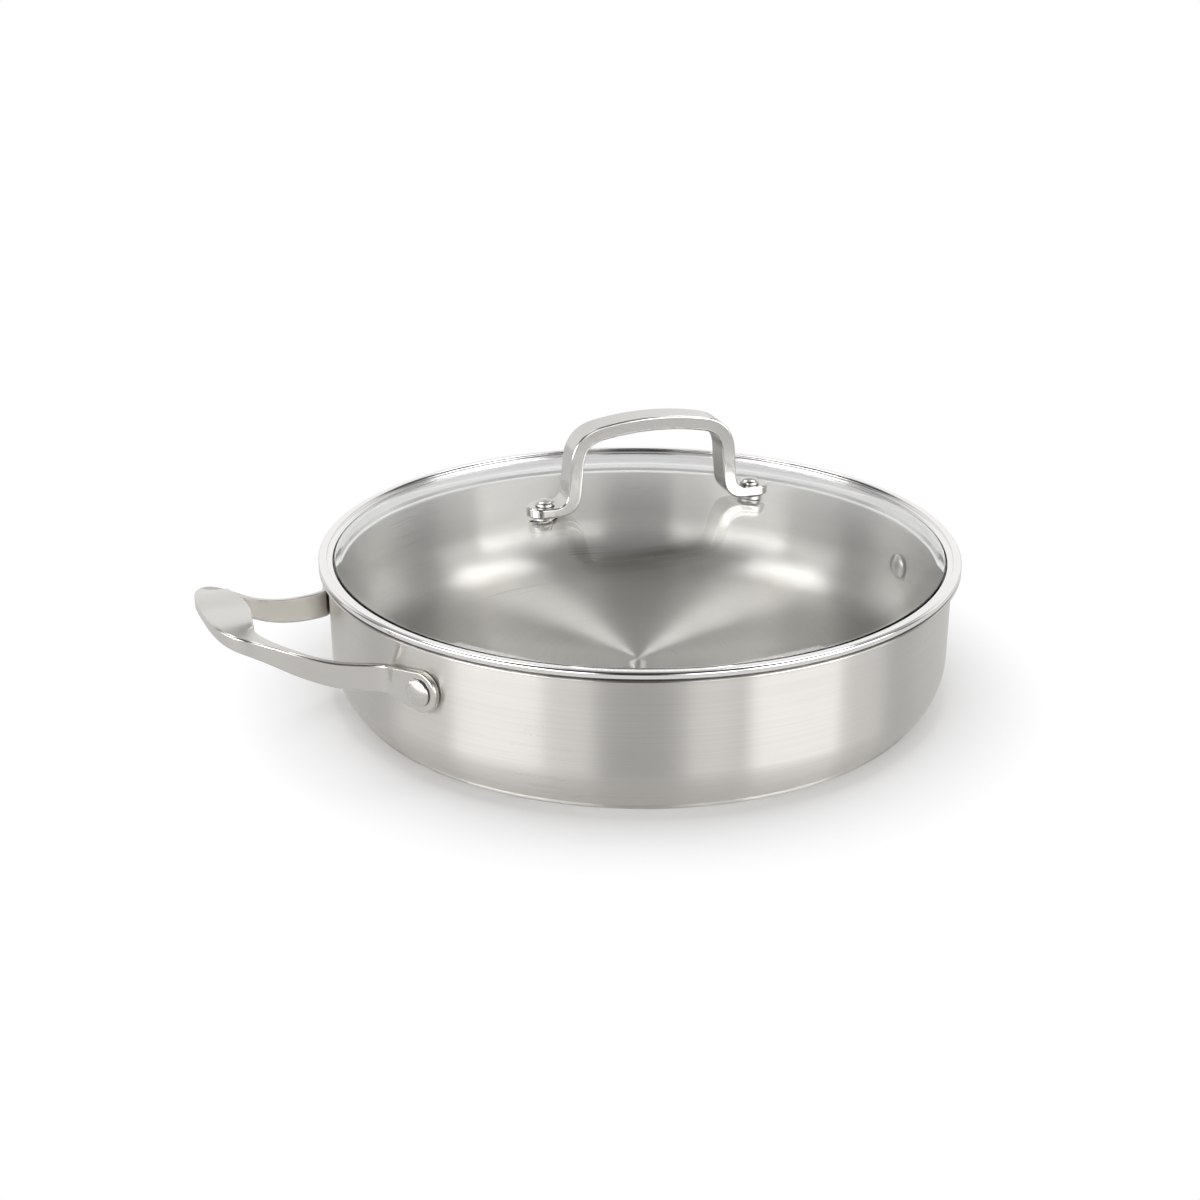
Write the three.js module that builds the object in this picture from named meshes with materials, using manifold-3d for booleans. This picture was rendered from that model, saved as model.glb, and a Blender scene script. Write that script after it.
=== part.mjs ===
// Low sauté pan with straight sides, one loop handle and a domed glass lid.
// Millimetres, +Z up. The origin is on the pan's axis, on the table.
import * as THREE from 'three';
import { mergeVertices } from 'three/addons/utils/BufferGeometryUtils.js';
import Module from 'manifold-3d';

const wasm = await Module();
wasm.setup();

// Fits and facets
const CLEARANCE = 0.3;
const LID_FIT = 0.5;
const MERGE_DISTANCE = 1e-4;
const ROUND_STEPS = 48;
const SMALL_STEPS = 20;
const ARC_STEPS = 5;
const SMALL_ARC_STEPS = 3;
const DOME_STEPS = 7;
const ROUND_END_DEGREES = [80, 60, 40, 20, 0];
const LARGEST_CHAMFER_SHARE = 0.45;

// Pan
const PAN_INNER_RADIUS = 140.4;
const PAN_WALL = 1.8;
const PAN_HEIGHT = 62.2;
const INNER_FILLET = 22;
const OUTER_CORNER = 28;
const INNER_SKIN = 0.9;
const OUTER_SKIN = 0.9;
const LIP_WIDTH = 3.8;
const LIP_THICKNESS = 1.1;
const LIP_BEND = 1.2;
const CORNER_FOOT_INSET = 7;
const CORE_MOUTH = 3.2;
const CORE_THICKNESS = 2.7;
const CORE_RIM_HEIGHT = 21.7;
const BASE_PLATE_INSET = 1.2;
const BASE_PLATE_THICKNESS = 2;
const BASE_PLATE_CHAMFER = 0.5;

// Rivets
const RIVET_SHANK_RADIUS = 2.5;
const RIVET_HEAD_RADIUS = 6;
const RIVET_HEAD_HEIGHT = 2.4;
const WALL_RIVET_AZIMUTH = 24;
const WALL_RIVET_HEIGHT = 32;

// Loop handle: pads on the wall, then stations out to the middle of the grip
const HANDLE_AZIMUTH = -155.2;
const HANDLE_HEIGHT = 40.9;
const HANDLE_SLOPE = 0.02;
const HANDLE_RIVET_SPACING = 132.8;
const STRAP_THICKNESS = 3.2;
const PAD_RADIUS = 9.1;
const PAD_LENGTH = 21;
const PAD_ROOT_HEIGHT = 12.6;
const PAD_ROOT_LIFT = 0.9;
const PAD_LIFT_POWER = 4;
const LEG_REACH = 13.7;
const LEG_HALF_SPREAD = 39.8;
const LEG_RISE = 2.1;
const LEG_HEIGHT = 11.5;
const NECK_REACH = 29.3;
const NECK_HALF_SPREAD = 33.5;
const NECK_RISE = 7.7;
const NECK_HEIGHT = 10.2;
const NECK_WIDTH = 4.6;
const SHOULDER_REACH = 48.3;
const SHOULDER_HALF_SPREAD = 27.2;
const SHOULDER_RISE = 19.4;
const SHOULDER_HEIGHT = 6.7;
const SHOULDER_WIDTH = 13;
const GRIP_REACH = 49.4;
const GRIP_RISE = 21.2;
const GRIP_HEIGHT = 4.4;
const GRIP_WIDTH = 20.2;
const STRAP_CHAMFER = 0.8;
const PAD_STATIONS = 3;
const STRAP_STEPS = 3;

// Lid glass and band
const GLASS_THICKNESS = 4;
const GLASS_RISE = 20.3;
const BAND_SHEET = 0.6;
const BAND_BEND = 1.2;
const BEAD_WIDTH = 1.8;
const BEAD_HEIGHT = 3.5;
const BEAD_ROUNDING = 1;
const BAND_STEP = 1.3;
const GLASS_RECESS = 1.3;
const SKIRT_DEPTH = 6.8;
const DRIP_WIDTH = 2.5;
const DRIP_DROP = 4.4;
const SEAL_WIDTH = 1.4;

// Lid handle and its fastenings
const LID_HANDLE_AZIMUTH = 19.6;
const LID_HANDLE_SHIFT = 4.6;
const LID_BOLT_SPACING = 99;
const ARCH_WIDTH = 13.4;
const ARCH_THICKNESS = 6.3;
const ARCH_CHAMFER = 0.7;
const ARCH_HEEL_SPACING = 75.6;
const ARCH_SHOULDER_SPACING = 70;
const ARCH_SHOULDER_RISE = 32.7;
const ARCH_CROWN_RISE = 37.2;
const ARCH_HEEL_CUT = 6.8;
const ARCH_SHOULDER_CUT = 11.2;
const ARCH_BEND_STEPS = 6;
const ARCH_BAR_STEPS = 12;
const FOOT_THICKNESS = 3.9;
const FOOT_OVERHANG = 1.2;
const FOOT_WASHER_RADIUS = 6;
const FOOT_WASHER_THICKNESS = 1;
const UNDER_WASHER_RADIUS = 6;
const UNDER_WASHER_THICKNESS = 0.8;
const BOLT_RADIUS = 2.5;
const BOLT_HEAD_RADIUS = 4.4;
const BOLT_HEAD_HEIGHT = 2.4;
const GROMMET_WALL = 1.4;
const NUT_RADIUS = 4.2;
const NUT_HEIGHT = 3.6;
const NUT_BORE_DEPTH = 2.6;

// Derived sizes of the pan
const PAN_OUTER_RADIUS = PAN_INNER_RADIUS + PAN_WALL;
const LIP_RADIUS = PAN_OUTER_RADIUS + LIP_WIDTH;
const UNDERSIDE = BASE_PLATE_THICKNESS + CLEARANCE;
const FLOOR_UNDERSIDE = UNDERSIDE + CORE_THICKNESS + CLEARANCE;
const FLOOR_HEIGHT = FLOOR_UNDERSIDE + INNER_SKIN;
const FILLET_CENTRE = new THREE.Vector2(PAN_INNER_RADIUS - INNER_FILLET, FLOOR_HEIGHT + INNER_FILLET);
const CORNER_FOOT_RADIUS = PAN_OUTER_RADIUS - CORNER_FOOT_INSET;
const CORNER_CENTRE = cornerCentre();
const CORE_MOUTH_RADIUS = CORNER_FOOT_RADIUS - CORE_MOUTH;
const BASE_PLATE_RADIUS = CORNER_FOOT_RADIUS - BASE_PLATE_INSET;

// Derived sizes of the lid
const BAND_UNDERSIDE = PAN_HEIGHT + CLEARANCE;
const BAND_TOP = BAND_UNDERSIDE + BEAD_HEIGHT;
const BAND_LEDGE = BAND_TOP - BAND_STEP;
const SKIRT_OUTER_RADIUS = PAN_INNER_RADIUS - LID_FIT;
const SKIRT_INNER_RADIUS = SKIRT_OUTER_RADIUS - BAND_SHEET;
const SKIRT_BOTTOM = BAND_TOP - SKIRT_DEPTH;
const GLASS_RADIUS = SKIRT_INNER_RADIUS - CLEARANCE;
const GLASS_CROWN = BAND_TOP - GLASS_RECESS + GLASS_RISE;
const DOME_RADIUS = (GLASS_RADIUS ** 2 + GLASS_RISE ** 2) / (2 * GLASS_RISE);
const DOME_CENTRE_HEIGHT = GLASS_CROWN - DOME_RADIUS;
const NEAR_FOOT_RADIUS = LID_BOLT_SPACING / 2 - Math.abs(LID_HANDLE_SHIFT);
const FOOT_UNDERSIDE = domeHeight(DOME_RADIUS, NEAR_FOOT_RADIUS) + 2 * CLEARANCE + FOOT_WASHER_THICKNESS;
const GLASS_HOLE_RADIUS = BOLT_RADIUS + GROMMET_WALL + 2 * CLEARANCE;
const HEEL_DISTANCE = (LID_BOLT_SPACING - ARCH_HEEL_SPACING) / 2;

const steel = material(0xbdbab6, 0.34, 1);
const polishedSteel = material(0xd6d6d5, 0.16, 1);
const aluminium = material(0xc9cbcd, 0.5, 1);
const silicone = material(0xdedfdd, 0.55, 0);
const glass = material(0xdfe7e6, 0.03, 0);
glass.transparent = true;
glass.opacity = 0.3;

function material(color, roughness, metalness) {
  return new THREE.MeshStandardMaterial({ color, roughness, metalness });
}

// The centre of the outer corner's arc, which ends on the underside at the corner's foot.
function cornerCentre() {
  const radius = PAN_OUTER_RADIUS - OUTER_CORNER;
  const run = CORNER_FOOT_RADIUS - radius;
  return new THREE.Vector2(radius, UNDERSIDE + Math.sqrt(OUTER_CORNER ** 2 - run ** 2));
}

// Height of a sphere about the glass dome's centre, at a distance from the lid's axis.
function domeHeight(sphereRadius, distance) {
  return DOME_CENTRE_HEIGHT + Math.sqrt(sphereRadius ** 2 - distance ** 2);
}

// Radius where an arc about a centre crosses a height, on the outer side.
function radiusAt(centre, radius, height) {
  return centre.x + Math.sqrt(radius ** 2 - (height - centre.y) ** 2);
}

function angleAt(centre, point) {
  return Math.atan2(point.y - centre.y, point.x - centre.x);
}

function point(radius, height) {
  return new THREE.Vector2(radius, height);
}

// Points on an arc about a centre, both ends included.
function arc(centre, radius, from, to, steps = ARC_STEPS) {
  const points = [];
  for (let step = 0; step <= steps; step += 1) {
    const angle = from + ((to - from) * step) / steps;
    points.push(point(centre.x + radius * Math.cos(angle), centre.y + radius * Math.sin(angle)));
  }
  return points;
}

// Points on a sphere about the dome's centre, from one distance to another.
function domeArc(sphereRadius, from, to) {
  const points = [];
  for (let step = 0; step <= DOME_STEPS; step += 1) {
    const distance = from + ((to - from) * step) / DOME_STEPS;
    points.push(point(distance, domeHeight(sphereRadius, distance)));
  }
  return points;
}

// A closed body with shared vertices, no empty triangles and its faces pointing out.
function closedBody(source) {
  const bare = source.clone();
  bare.deleteAttribute('normal');
  bare.deleteAttribute('uv');
  const merged = mergeVertices(bare, MERGE_DISTANCE);
  const corners = merged.index.array;
  const position = merged.getAttribute('position');
  const triangles = [];
  let volume = 0;
  const [a, b, c] = [new THREE.Vector3(), new THREE.Vector3(), new THREE.Vector3()];
  for (let start = 0; start < corners.length; start += 3) {
    const [i, j, k] = corners.slice(start, start + 3);
    if (i !== j && j !== k && k !== i) {
      triangles.push([i, j, k]);
      a.fromBufferAttribute(position, i);
      b.fromBufferAttribute(position, j);
      c.fromBufferAttribute(position, k);
      volume += a.dot(b.cross(c));
    }
  }
  const outward = volume > 0 ? triangles : triangles.map(([i, j, k]) => [i, k, j]);
  merged.setIndex(outward.flat());
  return merged;
}

// A solid of revolution about Z. The profile ends on the axis at both ends, or closes on itself.
function turned(profile, steps = ROUND_STEPS) {
  const isRing = profile.every((p) => p.x > 0);
  const outline = isRing ? [...profile, profile[0]] : profile;
  const body = new THREE.LatheGeometry(outline, steps);
  body.rotateX(Math.PI / 2);
  return closedBody(body);
}

function cylinder(radius, bottom, top, steps = SMALL_STEPS) {
  return turned([point(0, bottom), point(radius, bottom), point(radius, top), point(0, top)], steps);
}

function solid(geometry) {
  const vertProperties = new Float32Array(geometry.getAttribute('position').array);
  const triVerts = new Uint32Array(geometry.index.array);
  return new wasm.Manifold(new wasm.Mesh({ numProp: 3, vertProperties, triVerts }));
}

function geometryOf(body) {
  const { vertProperties, triVerts } = body.getMesh();
  const geometry = new THREE.BufferGeometry();
  geometry.setAttribute('position', new THREE.BufferAttribute(vertProperties, 3));
  geometry.setIndex(new THREE.BufferAttribute(triVerts, 1));
  return geometry;
}

function cut(geometry, ...tools) {
  const body = tools.reduce((rest, tool) => rest.subtract(solid(tool)), solid(geometry));
  return geometryOf(body);
}

// An eight-sided section: a rectangle with its corners cut off.
function section(centre, across, halfAcross, up, halfUp, chamfer) {
  const cutBack = Math.min(chamfer, LARGEST_CHAMFER_SHARE * Math.min(halfAcross, halfUp));
  const corners = [
    [halfAcross, halfUp - cutBack], [halfAcross - cutBack, halfUp],
    [cutBack - halfAcross, halfUp], [-halfAcross, halfUp - cutBack],
    [-halfAcross, cutBack - halfUp], [cutBack - halfAcross, -halfUp],
    [halfAcross - cutBack, -halfUp], [halfAcross, cutBack - halfUp],
  ];
  return corners.map(([x, y]) => centre.clone().addScaledVector(across, x).addScaledVector(up, y));
}

// A closed body through a row of sections, with flat ends.
function loft(sections) {
  const count = sections[0].length;
  const index = [];
  for (let row = 0; row + 1 < sections.length; row += 1) {
    for (let side = 0; side < count; side += 1) {
      const next = (side + 1) % count;
      const [a, b] = [row * count + side, row * count + next];
      index.push(a, b, a + count, b, b + count, a + count);
    }
  }
  const last = (sections.length - 1) * count;
  for (let side = 1; side + 1 < count; side += 1) {
    index.push(0, side + 1, side);
    index.push(last, last + side, last + side + 1);
  }
  const body = new THREE.BufferGeometry().setFromPoints(sections.flat());
  body.setIndex(index);
  return closedBody(body);
}

// Places a body turned about Z so that its axis points out of the wall.
function outOfWall(azimuth, height) {
  const turn = new THREE.Matrix4().makeRotationZ(THREE.MathUtils.degToRad(azimuth));
  const tip = new THREE.Matrix4().makeRotationY(Math.PI / 2);
  const lift = new THREE.Matrix4().makeTranslation(0, 0, height);
  return lift.multiply(turn).multiply(tip);
}

function addPiece(group, name, geometry, pieceMaterial) {
  const mesh = new THREE.Mesh(geometry, pieceMaterial);
  mesh.name = name;
  group.add(mesh);
  return mesh;
}

// The pan: one sheet whose wall forks into an inner and an outer skin around the core.
function panProfile() {
  const lipUnderside = PAN_HEIGHT - LIP_THICKNESS;
  const lipInner = LIP_BEND + PAN_WALL;
  const lipInnerCentre = point(PAN_INNER_RADIUS + lipInner, PAN_HEIGHT - lipInner);
  const lipBendCentre = point(PAN_OUTER_RADIUS + LIP_BEND, lipUnderside - LIP_BEND);
  const lipEdge = LIP_THICKNESS / 2;
  const edgeCentre = point(LIP_RADIUS - lipEdge, PAN_HEIGHT - lipEdge);
  const foot = point(CORNER_FOOT_RADIUS, UNDERSIDE);
  const skinRadius = OUTER_CORNER - OUTER_SKIN;
  const ledge = UNDERSIDE + OUTER_SKIN;
  const skinFoot = point(radiusAt(CORNER_CENTRE, skinRadius, ledge), ledge);
  const forkHeight = CORE_RIM_HEIGHT + CLEARANCE;
  const backRadius = INNER_FILLET + INNER_SKIN;
  const fork = point(radiusAt(FILLET_CENTRE, backRadius, forkHeight), forkHeight);
  return [
    point(0, FLOOR_HEIGHT),
    ...arc(FILLET_CENTRE, INNER_FILLET, -Math.PI / 2, 0),
    ...arc(lipInnerCentre, lipInner, Math.PI, Math.PI / 2, SMALL_ARC_STEPS),
    ...arc(edgeCentre, lipEdge, Math.PI / 2, -Math.PI / 2, SMALL_ARC_STEPS),
    ...arc(lipBendCentre, LIP_BEND, Math.PI / 2, Math.PI, SMALL_ARC_STEPS),
    ...arc(CORNER_CENTRE, OUTER_CORNER, 0, angleAt(CORNER_CENTRE, foot)),
    point(CORE_MOUTH_RADIUS, UNDERSIDE),
    point(CORE_MOUTH_RADIUS, ledge),
    ...arc(CORNER_CENTRE, skinRadius, angleAt(CORNER_CENTRE, skinFoot), 0),
    point(PAN_OUTER_RADIUS - OUTER_SKIN, forkHeight),
    ...arc(FILLET_CENTRE, backRadius, angleAt(FILLET_CENTRE, fork), -Math.PI / 2),
    point(0, FLOOR_UNDERSIDE),
  ];
}

// The core fills the fork between the skins and reaches the base plate through the mouth below.
function coreProfile() {
  const topRadius = INNER_FILLET + INNER_SKIN + CLEARANCE;
  const sideRadius = OUTER_CORNER - OUTER_SKIN - CLEARANCE;
  const ledge = UNDERSIDE + OUTER_SKIN + CLEARANCE;
  const rim = point(radiusAt(FILLET_CENTRE, topRadius, CORE_RIM_HEIGHT), CORE_RIM_HEIGHT);
  const sideFoot = point(radiusAt(CORNER_CENTRE, sideRadius, ledge), ledge);
  return [
    point(0, UNDERSIDE),
    point(CORE_MOUTH_RADIUS - CLEARANCE, UNDERSIDE),
    point(CORE_MOUTH_RADIUS - CLEARANCE, ledge),
    ...arc(CORNER_CENTRE, sideRadius, angleAt(CORNER_CENTRE, sideFoot), 0),
    point(CORNER_CENTRE.x + sideRadius, CORE_RIM_HEIGHT),
    ...arc(FILLET_CENTRE, topRadius, angleAt(FILLET_CENTRE, rim), -Math.PI / 2),
    point(0, FLOOR_UNDERSIDE - CLEARANCE),
  ];
}

function basePlateProfile() {
  return [
    point(0, 0),
    point(BASE_PLATE_RADIUS - BASE_PLATE_CHAMFER, 0),
    point(BASE_PLATE_RADIUS, BASE_PLATE_CHAMFER),
    point(BASE_PLATE_RADIUS, BASE_PLATE_THICKNESS - BASE_PLATE_CHAMFER),
    point(BASE_PLATE_RADIUS - BASE_PLATE_CHAMFER, BASE_PLATE_THICKNESS),
    point(0, BASE_PLATE_THICKNESS),
  ];
}

// Points of a low dome that stands on a flat base, from its rim to its top.
function domedHead(radius, base, rise) {
  const points = [];
  for (let step = 0; step < SMALL_ARC_STEPS; step += 1) {
    const angle = (Math.PI / 2) * (step / SMALL_ARC_STEPS);
    points.push(point(radius * Math.cos(angle), base + rise * Math.sin(angle)));
  }
  points.push(point(0, base + rise));
  return points;
}

// Radius of the pan's inner face at a height, on its wall or on the fillet below the wall.
function innerFaceRadius(height) {
  const onWall = height > FILLET_CENTRE.y;
  return onWall ? PAN_INNER_RADIUS : radiusAt(FILLET_CENTRE, INNER_FILLET, height);
}

// A rivet along its own Z, which is the distance from the pan's axis.
function rivet(height, outerSeat) {
  const hollow = RIVET_HEAD_RADIUS ** 2 / PAN_INNER_RADIUS;
  const innerBase = innerFaceRadius(height - RIVET_HEAD_RADIUS) - CLEARANCE - hollow;
  const outerBase = outerSeat + CLEARANCE;
  return turned([
    ...domedHead(RIVET_HEAD_RADIUS, innerBase, -RIVET_HEAD_HEIGHT).reverse(),
    point(RIVET_SHANK_RADIUS, innerBase),
    point(RIVET_SHANK_RADIUS, outerBase),
    ...domedHead(RIVET_HEAD_RADIUS, outerBase, RIVET_HEAD_HEIGHT),
  ], SMALL_STEPS);
}

function rivetHole() {
  const reach = STRAP_THICKNESS + RIVET_HEAD_RADIUS;
  return cylinder(RIVET_SHANK_RADIUS + CLEARANCE, PAN_INNER_RADIUS - reach, PAN_OUTER_RADIUS + reach);
}

// Half of the loop handle's stations in its own frame: X out from the pan, Y to one side.
function handleStations() {
  const padRadius = PAN_OUTER_RADIUS + CLEARANCE + STRAP_THICKNESS / 2;
  const rivetAngle = Math.asin(HANDLE_RIVET_SPACING / 2 / padRadius);
  const onWall = (offset, height, lift = 0) => {
    const angle = rivetAngle + offset / padRadius;
    const radius = padRadius + lift;
    const [x, y] = [radius * Math.cos(angle), radius * Math.sin(angle)];
    return { x, y, z: 0, height, width: STRAP_THICKNESS };
  };
  const outside = (reach, y, z, height, width) => ({ x: PAN_OUTER_RADIUS + reach, y, z, height, width });
  const roundEnd = ROUND_END_DEGREES.map((degrees) => {
    const angle = THREE.MathUtils.degToRad(degrees);
    return onWall(PAD_RADIUS * Math.sin(angle), 2 * PAD_RADIUS * Math.cos(angle));
  });
  const pad = [];
  for (let station = 1; station <= PAD_STATIONS; station += 1) {
    const share = station / PAD_STATIONS;
    const height = THREE.MathUtils.lerp(2 * PAD_RADIUS, PAD_ROOT_HEIGHT, share);
    pad.push(onWall(-PAD_LENGTH * share, height, PAD_ROOT_LIFT * share ** PAD_LIFT_POWER));
  }
  return [
    ...roundEnd,
    ...pad,
    outside(LEG_REACH, LEG_HALF_SPREAD, LEG_RISE, LEG_HEIGHT, STRAP_THICKNESS),
    outside(NECK_REACH, NECK_HALF_SPREAD, NECK_RISE, NECK_HEIGHT, NECK_WIDTH),
    outside(SHOULDER_REACH, SHOULDER_HALF_SPREAD, SHOULDER_RISE, SHOULDER_HEIGHT, SHOULDER_WIDTH),
    outside(GRIP_REACH, 0, GRIP_RISE, GRIP_HEIGHT, GRIP_WIDTH),
  ];
}

// The loop handle: upright straps that widen and flatten into the grip, the front one a little higher.
function loopHandle() {
  const half = handleStations();
  const otherHalf = half.slice(0, -1).reverse().map((s) => ({ ...s, y: -s.y }));
  const stations = [...half, ...otherHalf];
  const route = stations.map((s) => new THREE.Vector3(s.x, s.y, s.z + HANDLE_SLOPE * s.y));
  const sizes = stations.map((s) => new THREE.Vector3(s.width, s.height, 0));
  const path = new THREE.CatmullRomCurve3(route, false, 'centripetal');
  const sizePath = new THREE.CatmullRomCurve3(sizes, false, 'catmullrom');
  const up = new THREE.Vector3(0, 0, 1);
  const sections = [];
  const steps = (stations.length - 1) * STRAP_STEPS;
  for (let step = 0; step <= steps; step += 1) {
    const centre = path.getPoint(step / steps);
    const size = sizePath.getPoint(step / steps);
    const across = path.getTangent(step / steps).setZ(0).cross(up).normalize();
    sections.push(section(centre, across, size.x / 2, up, size.y / 2, STRAP_CHAMFER));
  }
  const body = loft(sections);
  body.rotateZ(THREE.MathUtils.degToRad(HANDLE_AZIMUTH));
  body.translate(0, 0, HANDLE_HEIGHT);
  return body;
}

// Where the loop handle's rivets go through the wall.
function handleRivetPlaces() {
  const padRadius = PAN_OUTER_RADIUS + CLEARANCE + STRAP_THICKNESS / 2;
  const halfSpacing = HANDLE_RIVET_SPACING / 2;
  const halfAngle = THREE.MathUtils.radToDeg(Math.asin(halfSpacing / padRadius));
  const rise = HANDLE_SLOPE * halfSpacing;
  return {
    front: { azimuth: HANDLE_AZIMUTH + halfAngle, height: HANDLE_HEIGHT + rise },
    rear: { azimuth: HANDLE_AZIMUTH - halfAngle, height: HANDLE_HEIGHT - rise },
  };
}

function glassProfile() {
  const underRadius = DOME_RADIUS - GLASS_THICKNESS;
  return [
    ...domeArc(underRadius, 0, GLASS_RADIUS),
    ...domeArc(DOME_RADIUS, GLASS_RADIUS, 0),
  ];
}

// The band's sheet: a flange with a bead at the rim, a step down to a ledge over the pan's mouth,
// a skirt inside the mouth and a drip edge.
function bandProfile() {
  const rim = LIP_RADIUS;
  const beadInner = rim - BEAD_WIDTH;
  const flangeUnderside = BAND_TOP - BAND_SHEET;
  const step = PAN_OUTER_RADIUS;
  const bend = point(SKIRT_INNER_RADIUS + BAND_BEND, BAND_LEDGE - BAND_BEND);
  const beadTop = point(rim - BEAD_ROUNDING, BAND_TOP - BEAD_ROUNDING);
  const beadBottom = point(rim - BEAD_ROUNDING, BAND_UNDERSIDE + BEAD_ROUNDING);
  const slope = point(DRIP_WIDTH, DRIP_DROP).normalize();
  const dripTip = point(SKIRT_INNER_RADIUS - DRIP_WIDTH, SKIRT_BOTTOM - DRIP_DROP);
  const dripUnder = point(dripTip.x + BAND_SHEET * slope.y, dripTip.y - BAND_SHEET * slope.x);
  const run = (SKIRT_OUTER_RADIUS - dripUnder.x) / slope.x;
  return [
    ...arc(bend, BAND_BEND, Math.PI, Math.PI / 2, SMALL_ARC_STEPS),
    point(step, BAND_LEDGE),
    point(step, BAND_TOP),
    ...arc(beadTop, BEAD_ROUNDING, Math.PI / 2, 0, SMALL_ARC_STEPS),
    ...arc(beadBottom, BEAD_ROUNDING, 0, -Math.PI / 2, SMALL_ARC_STEPS),
    point(beadInner, BAND_UNDERSIDE),
    point(beadInner, flangeUnderside),
    point(step + BAND_SHEET, flangeUnderside),
    point(step + BAND_SHEET, BAND_LEDGE - BAND_SHEET),
    ...arc(bend, BAND_BEND - BAND_SHEET, Math.PI / 2, Math.PI, SMALL_ARC_STEPS),
    point(SKIRT_OUTER_RADIUS, dripUnder.y + run * slope.y),
    dripUnder,
    dripTip,
    point(SKIRT_INNER_RADIUS, SKIRT_BOTTOM),
  ];
}

// The seal lies on the drip edge inside the skirt and carries the rim of the glass.
function sealProfile() {
  const outer = SKIRT_INNER_RADIUS - CLEARANCE;
  const inner = outer - SEAL_WIDTH;
  const underRadius = DOME_RADIUS - GLASS_THICKNESS - CLEARANCE;
  const grade = DRIP_DROP / DRIP_WIDTH;
  const lift = CLEARANCE * Math.hypot(1, grade);
  const seat = (radius) => SKIRT_BOTTOM - (SKIRT_INNER_RADIUS - radius) * grade + lift;
  return [
    point(inner, seat(inner)),
    point(outer, seat(outer)),
    point(outer, domeHeight(underRadius, outer)),
    point(inner, domeHeight(underRadius, inner)),
  ];
}

// The lid handle's middle line from one foot to the other, seen from its side.
function archLine() {
  const z = FOOT_UNDERSIDE + FOOT_THICKNESS / 2;
  const foot = new THREE.Vector3(-LID_BOLT_SPACING / 2, 0, z);
  const heel = new THREE.Vector3(-ARCH_HEEL_SPACING / 2, 0, z);
  const shoulder = new THREE.Vector3(-ARCH_SHOULDER_SPACING / 2, 0, z + ARCH_SHOULDER_RISE);
  const bow = (2 * (ARCH_CROWN_RISE - ARCH_SHOULDER_RISE)) / (1 - ARCH_SHOULDER_CUT / shoulder.x);
  const barPeak = new THREE.Vector3(0, 0, shoulder.z + bow);
  const towards = (from, to, distance) => {
    const way = to.clone().sub(from).normalize();
    return from.clone().addScaledVector(way, distance);
  };
  const mirrored = (p) => new THREE.Vector3(-p.x, p.y, p.z);
  const heelStart = towards(heel, foot, ARCH_HEEL_CUT);
  const heelEnd = towards(heel, shoulder, ARCH_HEEL_CUT);
  const shoulderStart = towards(shoulder, heel, ARCH_SHOULDER_CUT);
  const shoulderEnd = towards(shoulder, barPeak, ARCH_SHOULDER_CUT);
  const bar = new THREE.QuadraticBezierCurve3(shoulderEnd, barPeak, mirrored(shoulderEnd));
  const half = [
    ...new THREE.QuadraticBezierCurve3(heelStart, heel, heelEnd).getPoints(ARCH_BEND_STEPS),
    ...new THREE.QuadraticBezierCurve3(shoulderStart, shoulder, shoulderEnd).getPoints(ARCH_BEND_STEPS),
  ];
  const line = [...half, ...bar.getPoints(ARCH_BAR_STEPS).slice(1, -1), ...half.map(mirrored).reverse()];
  return { foot, line };
}

// Thickness of the lid handle at a distance from a foot's bolt: the feet are flatter than the arch.
function archThickness(distance) {
  const share = THREE.MathUtils.smoothstep(distance, HEEL_DISTANCE - ARCH_HEEL_CUT, HEEL_DISTANCE);
  return THREE.MathUtils.lerp(FOOT_THICKNESS, ARCH_THICKNESS, share);
}

// The lid handle: an upright arch of flat bar whose feet end in half rounds just past the bolts.
function archHandle() {
  const { foot, line } = archLine();
  const across = new THREE.Vector3(0, 1, 0);
  const up = new THREE.Vector3(0, 0, 1);
  const half = ARCH_WIDTH / 2;
  const endX = foot.x - FOOT_OVERHANG;
  const footEnd = ROUND_END_DEGREES.map((degrees) => {
    const angle = THREE.MathUtils.degToRad(degrees);
    const centre = foot.clone().setX(endX - half * Math.sin(angle));
    return section(centre, across, half * Math.cos(angle), up, FOOT_THICKNESS / 2, ARCH_CHAMFER);
  });
  const strap = line.slice(1, -1).map((centre, place) => {
    const normal = line[place + 2].clone().sub(line[place]).cross(across).normalize().negate();
    const distance = LID_BOLT_SPACING / 2 - Math.abs(centre.x);
    return section(centre, across, half, normal, archThickness(distance) / 2, ARCH_CHAMFER);
  });
  const otherEnd = footEnd.map((ring) => mirrorSection(ring)).reverse();
  return loft([...footEnd, ...strap, ...otherEnd]);
}

// A section on the other side of the handle's middle, with its corners in the same order.
function mirrorSection(ring) {
  return ring.map((corner) => new THREE.Vector3(-corner.x, corner.y, corner.z));
}

// The solid that the glass fills, grown by the clearance, out to a radius.
function glassEnvelope(radius) {
  const underRadius = DOME_RADIUS - GLASS_THICKNESS - CLEARANCE;
  return turned([
    ...domeArc(underRadius, 0, radius),
    ...domeArc(DOME_RADIUS + CLEARANCE, radius, 0),
  ]);
}

function ringAt(x, outer, inner, bottom, top) {
  const profile = [point(inner, bottom), point(outer, bottom), point(outer, top), point(inner, top)];
  const body = turned(profile, SMALL_STEPS);
  body.translate(x, 0, 0);
  return body;
}

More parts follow.
